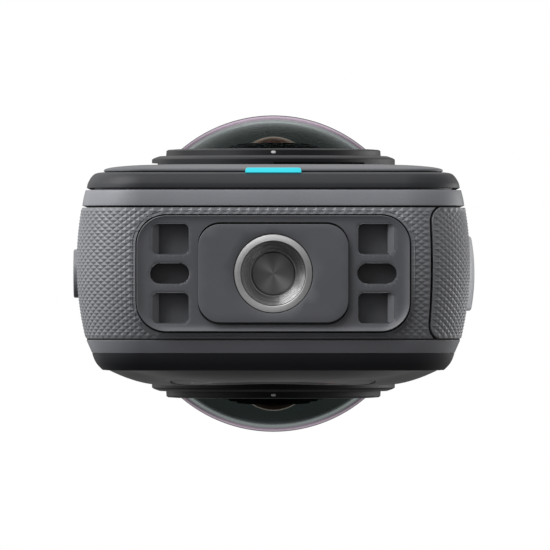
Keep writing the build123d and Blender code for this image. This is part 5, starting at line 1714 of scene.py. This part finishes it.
@dataclass
class Stage:
    """The pale floor, the studio light and the camera below the tripod end."""

    distance: float = 1414.0
    lens: float = 821.8
    aim: Pair = (-0.19, -0.17)
    floor_half: float = 4.0
    floor_sunk: float = 0.05 * MM
    light_aim: Triple = (0.0, 0.0, 0.03)

    def floor(self) -> None:
        """A pale floor under the base. Its underside lets the camera below see the base."""
        half = self.floor_half
        corners = ((-half, -half), (half, -half), (half, half), (-half, half))
        mesh = bpy.data.meshes.new("floor")
        mesh.from_pydata([(x, y, -self.floor_sunk) for x, y in corners], [], [(0, 1, 2, 3)])
        floor = bpy.data.objects.new("floor", mesh)
        bpy.context.scene.collection.objects.link(floor)
        material, graph = new_graph("floor_pale")
        cloud = graph.noise(graph.place(), 0.4, 3.0)
        paint = graph.principled({
            "Base Color": graph.tinted((0.82, 0.82, 0.83), 0.99, 1.01, cloud), "Roughness": 0.7})
        clear = graph.add("ShaderNodeBsdfTransparent")
        under = graph.add("ShaderNodeNewGeometry", out="Backfacing")
        graph.surface(graph.add("ShaderNodeMixShader", {}, {0: under, 1: paint, 2: clear}))
        mesh.materials.append(material)
        for ray in ("diffuse", "glossy", "transmission", "volume_scatter", "shadow"):
            setattr(floor, f"visible_{ray}", False)

    def world(self) -> None:
        """A white backdrop, and a soft studio sky that is bright towards +Y and dim towards -Y.

        Rays that have passed through glass see a second, darker sky, which keeps the domes' inside dark
        and leaves a few bright bands in it.
        """
        world = bpy.data.worlds.new("studio")
        bpy.context.scene.world = world
        world.use_nodes = True
        graph = Graph(world.node_tree)
        way = graph.add("ShaderNodeTexCoord", out="Generated")
        x, y, z = graph.parts(way)
        high = y.ramp(-0.7, 0.9, 0.08, 1.5)
        left = x.ramp(-1.0, 1.0, 0.25, 1.15)
        before = z.ramp(-1.0, -0.25, 0.4, 1.0)
        lower = y.ramp(-0.9, 0.1, 0.15, 1.0)
        flags = x.absolute().ramp(0.08, 0.26, 1.0, 0.2) + x.absolute().ramp(0.4, 0.6, 0.0, 0.8)
        ring = z.ramp(0.35, 0.9) * lower * flags * 0.6 + x.ramp(-1.0, -0.1, 0.35, 0.0)
        flag = z.ramp(0.965, 0.99, 1.0, 0.10)
        far = z.ramp(0.8, 0.93, 1.0, 0.2)
        seen_open = (high * left * before * far + ring) * flag
        crescent = z.ramp(0.82, 0.9, 0.015, 0.3) * z.ramp(0.93, 0.992, 1.0, 0.1)
        band = y.ramp(0.38, 0.48, 0.0, 0.4) * y.ramp(0.55, 0.75, 1.0, 0.15) * z.ramp(0.4, 0.6)
        seen_through = crescent + band
        passed = graph.add("ShaderNodeLightPath", out="Is Transmission Ray")
        level = passed * seen_through + (1.0 - passed) * seen_open
        sky = graph.add("ShaderNodeBackground", {}, {"Color": (1.0, 1.0, 1.0, 1.0), "Strength": level})
        white = graph.add("ShaderNodeBackground", {}, {"Color": (1.0, 1.0, 1.0, 1.0), "Strength": 1.0})
        seen = graph.add("ShaderNodeLightPath", out="Is Camera Ray")
        mixed = graph.add("ShaderNodeMixShader", {}, {0: seen, 1: sky, 2: white})
        graph.surface(mixed, "ShaderNodeOutputWorld")

    def lamp(self, name: str, spot: Triple, size: Pair, power: float) -> None:
        """A soft box at spot, in metres, that points to the camera's foot."""
        data = bpy.data.lights.new(name, "AREA")
        data.shape = "RECTANGLE"
        data.size, data.size_y = size
        data.energy = power
        made = bpy.data.objects.new(name, data)
        bpy.context.scene.collection.objects.link(made)
        away = np.array(spot) - np.array(self.light_aim)
        made.location = spot
        made.rotation_mode = "QUATERNION"
        made.rotation_quaternion = Vector(away.tolist()).to_track_quat("Z", "Y")

    def camera(self) -> None:
        """The camera, under the base and looking up the long axis, with the status light's side up."""
        data = bpy.data.cameras.new("view")
        data.lens = self.lens
        data.sensor_width = 36.0
        data.clip_start, data.clip_end = 0.01, 100.0
        made = bpy.data.objects.new("view", data)
        bpy.context.scene.collection.objects.link(made)
        made.location = (self.aim[0] * MM, self.aim[1] * MM, -self.distance * MM)
        made.rotation_euler = (0.0, math.pi, 0.0)
        bpy.context.scene.camera = made

    def build(self) -> None:
        """Makes the stage."""
        bpy.context.scene.view_settings.view_transform = "Standard"
        self.floor()
        self.world()
        self.lamp("top_box", (0.42, 0.54, -0.28), (0.6, 0.4), 5.0)
        self.lamp("left_box", (0.55, 0.15, -0.10), (0.25, 0.6), 0.8)
        self.lamp("right_box", (-0.60, 0.05, 0.30), (0.2, 0.6), 1.3)
        self.camera()


def main() -> None:
    """Builds the camera, group by group, and the stage."""
    logging.basicConfig(level=logging.INFO, format="%(name)s %(message)s")
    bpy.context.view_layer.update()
    stage = Stage()
    stage.build()
    for group in (Grip(), Shells(), Base(), Lens(1), Lens(-1), Keys(Shells())):
        group.build()
        LOG.info("built %s", type(group).__name__)
    dress_nodes()


if __name__ == "__main__":
    main()
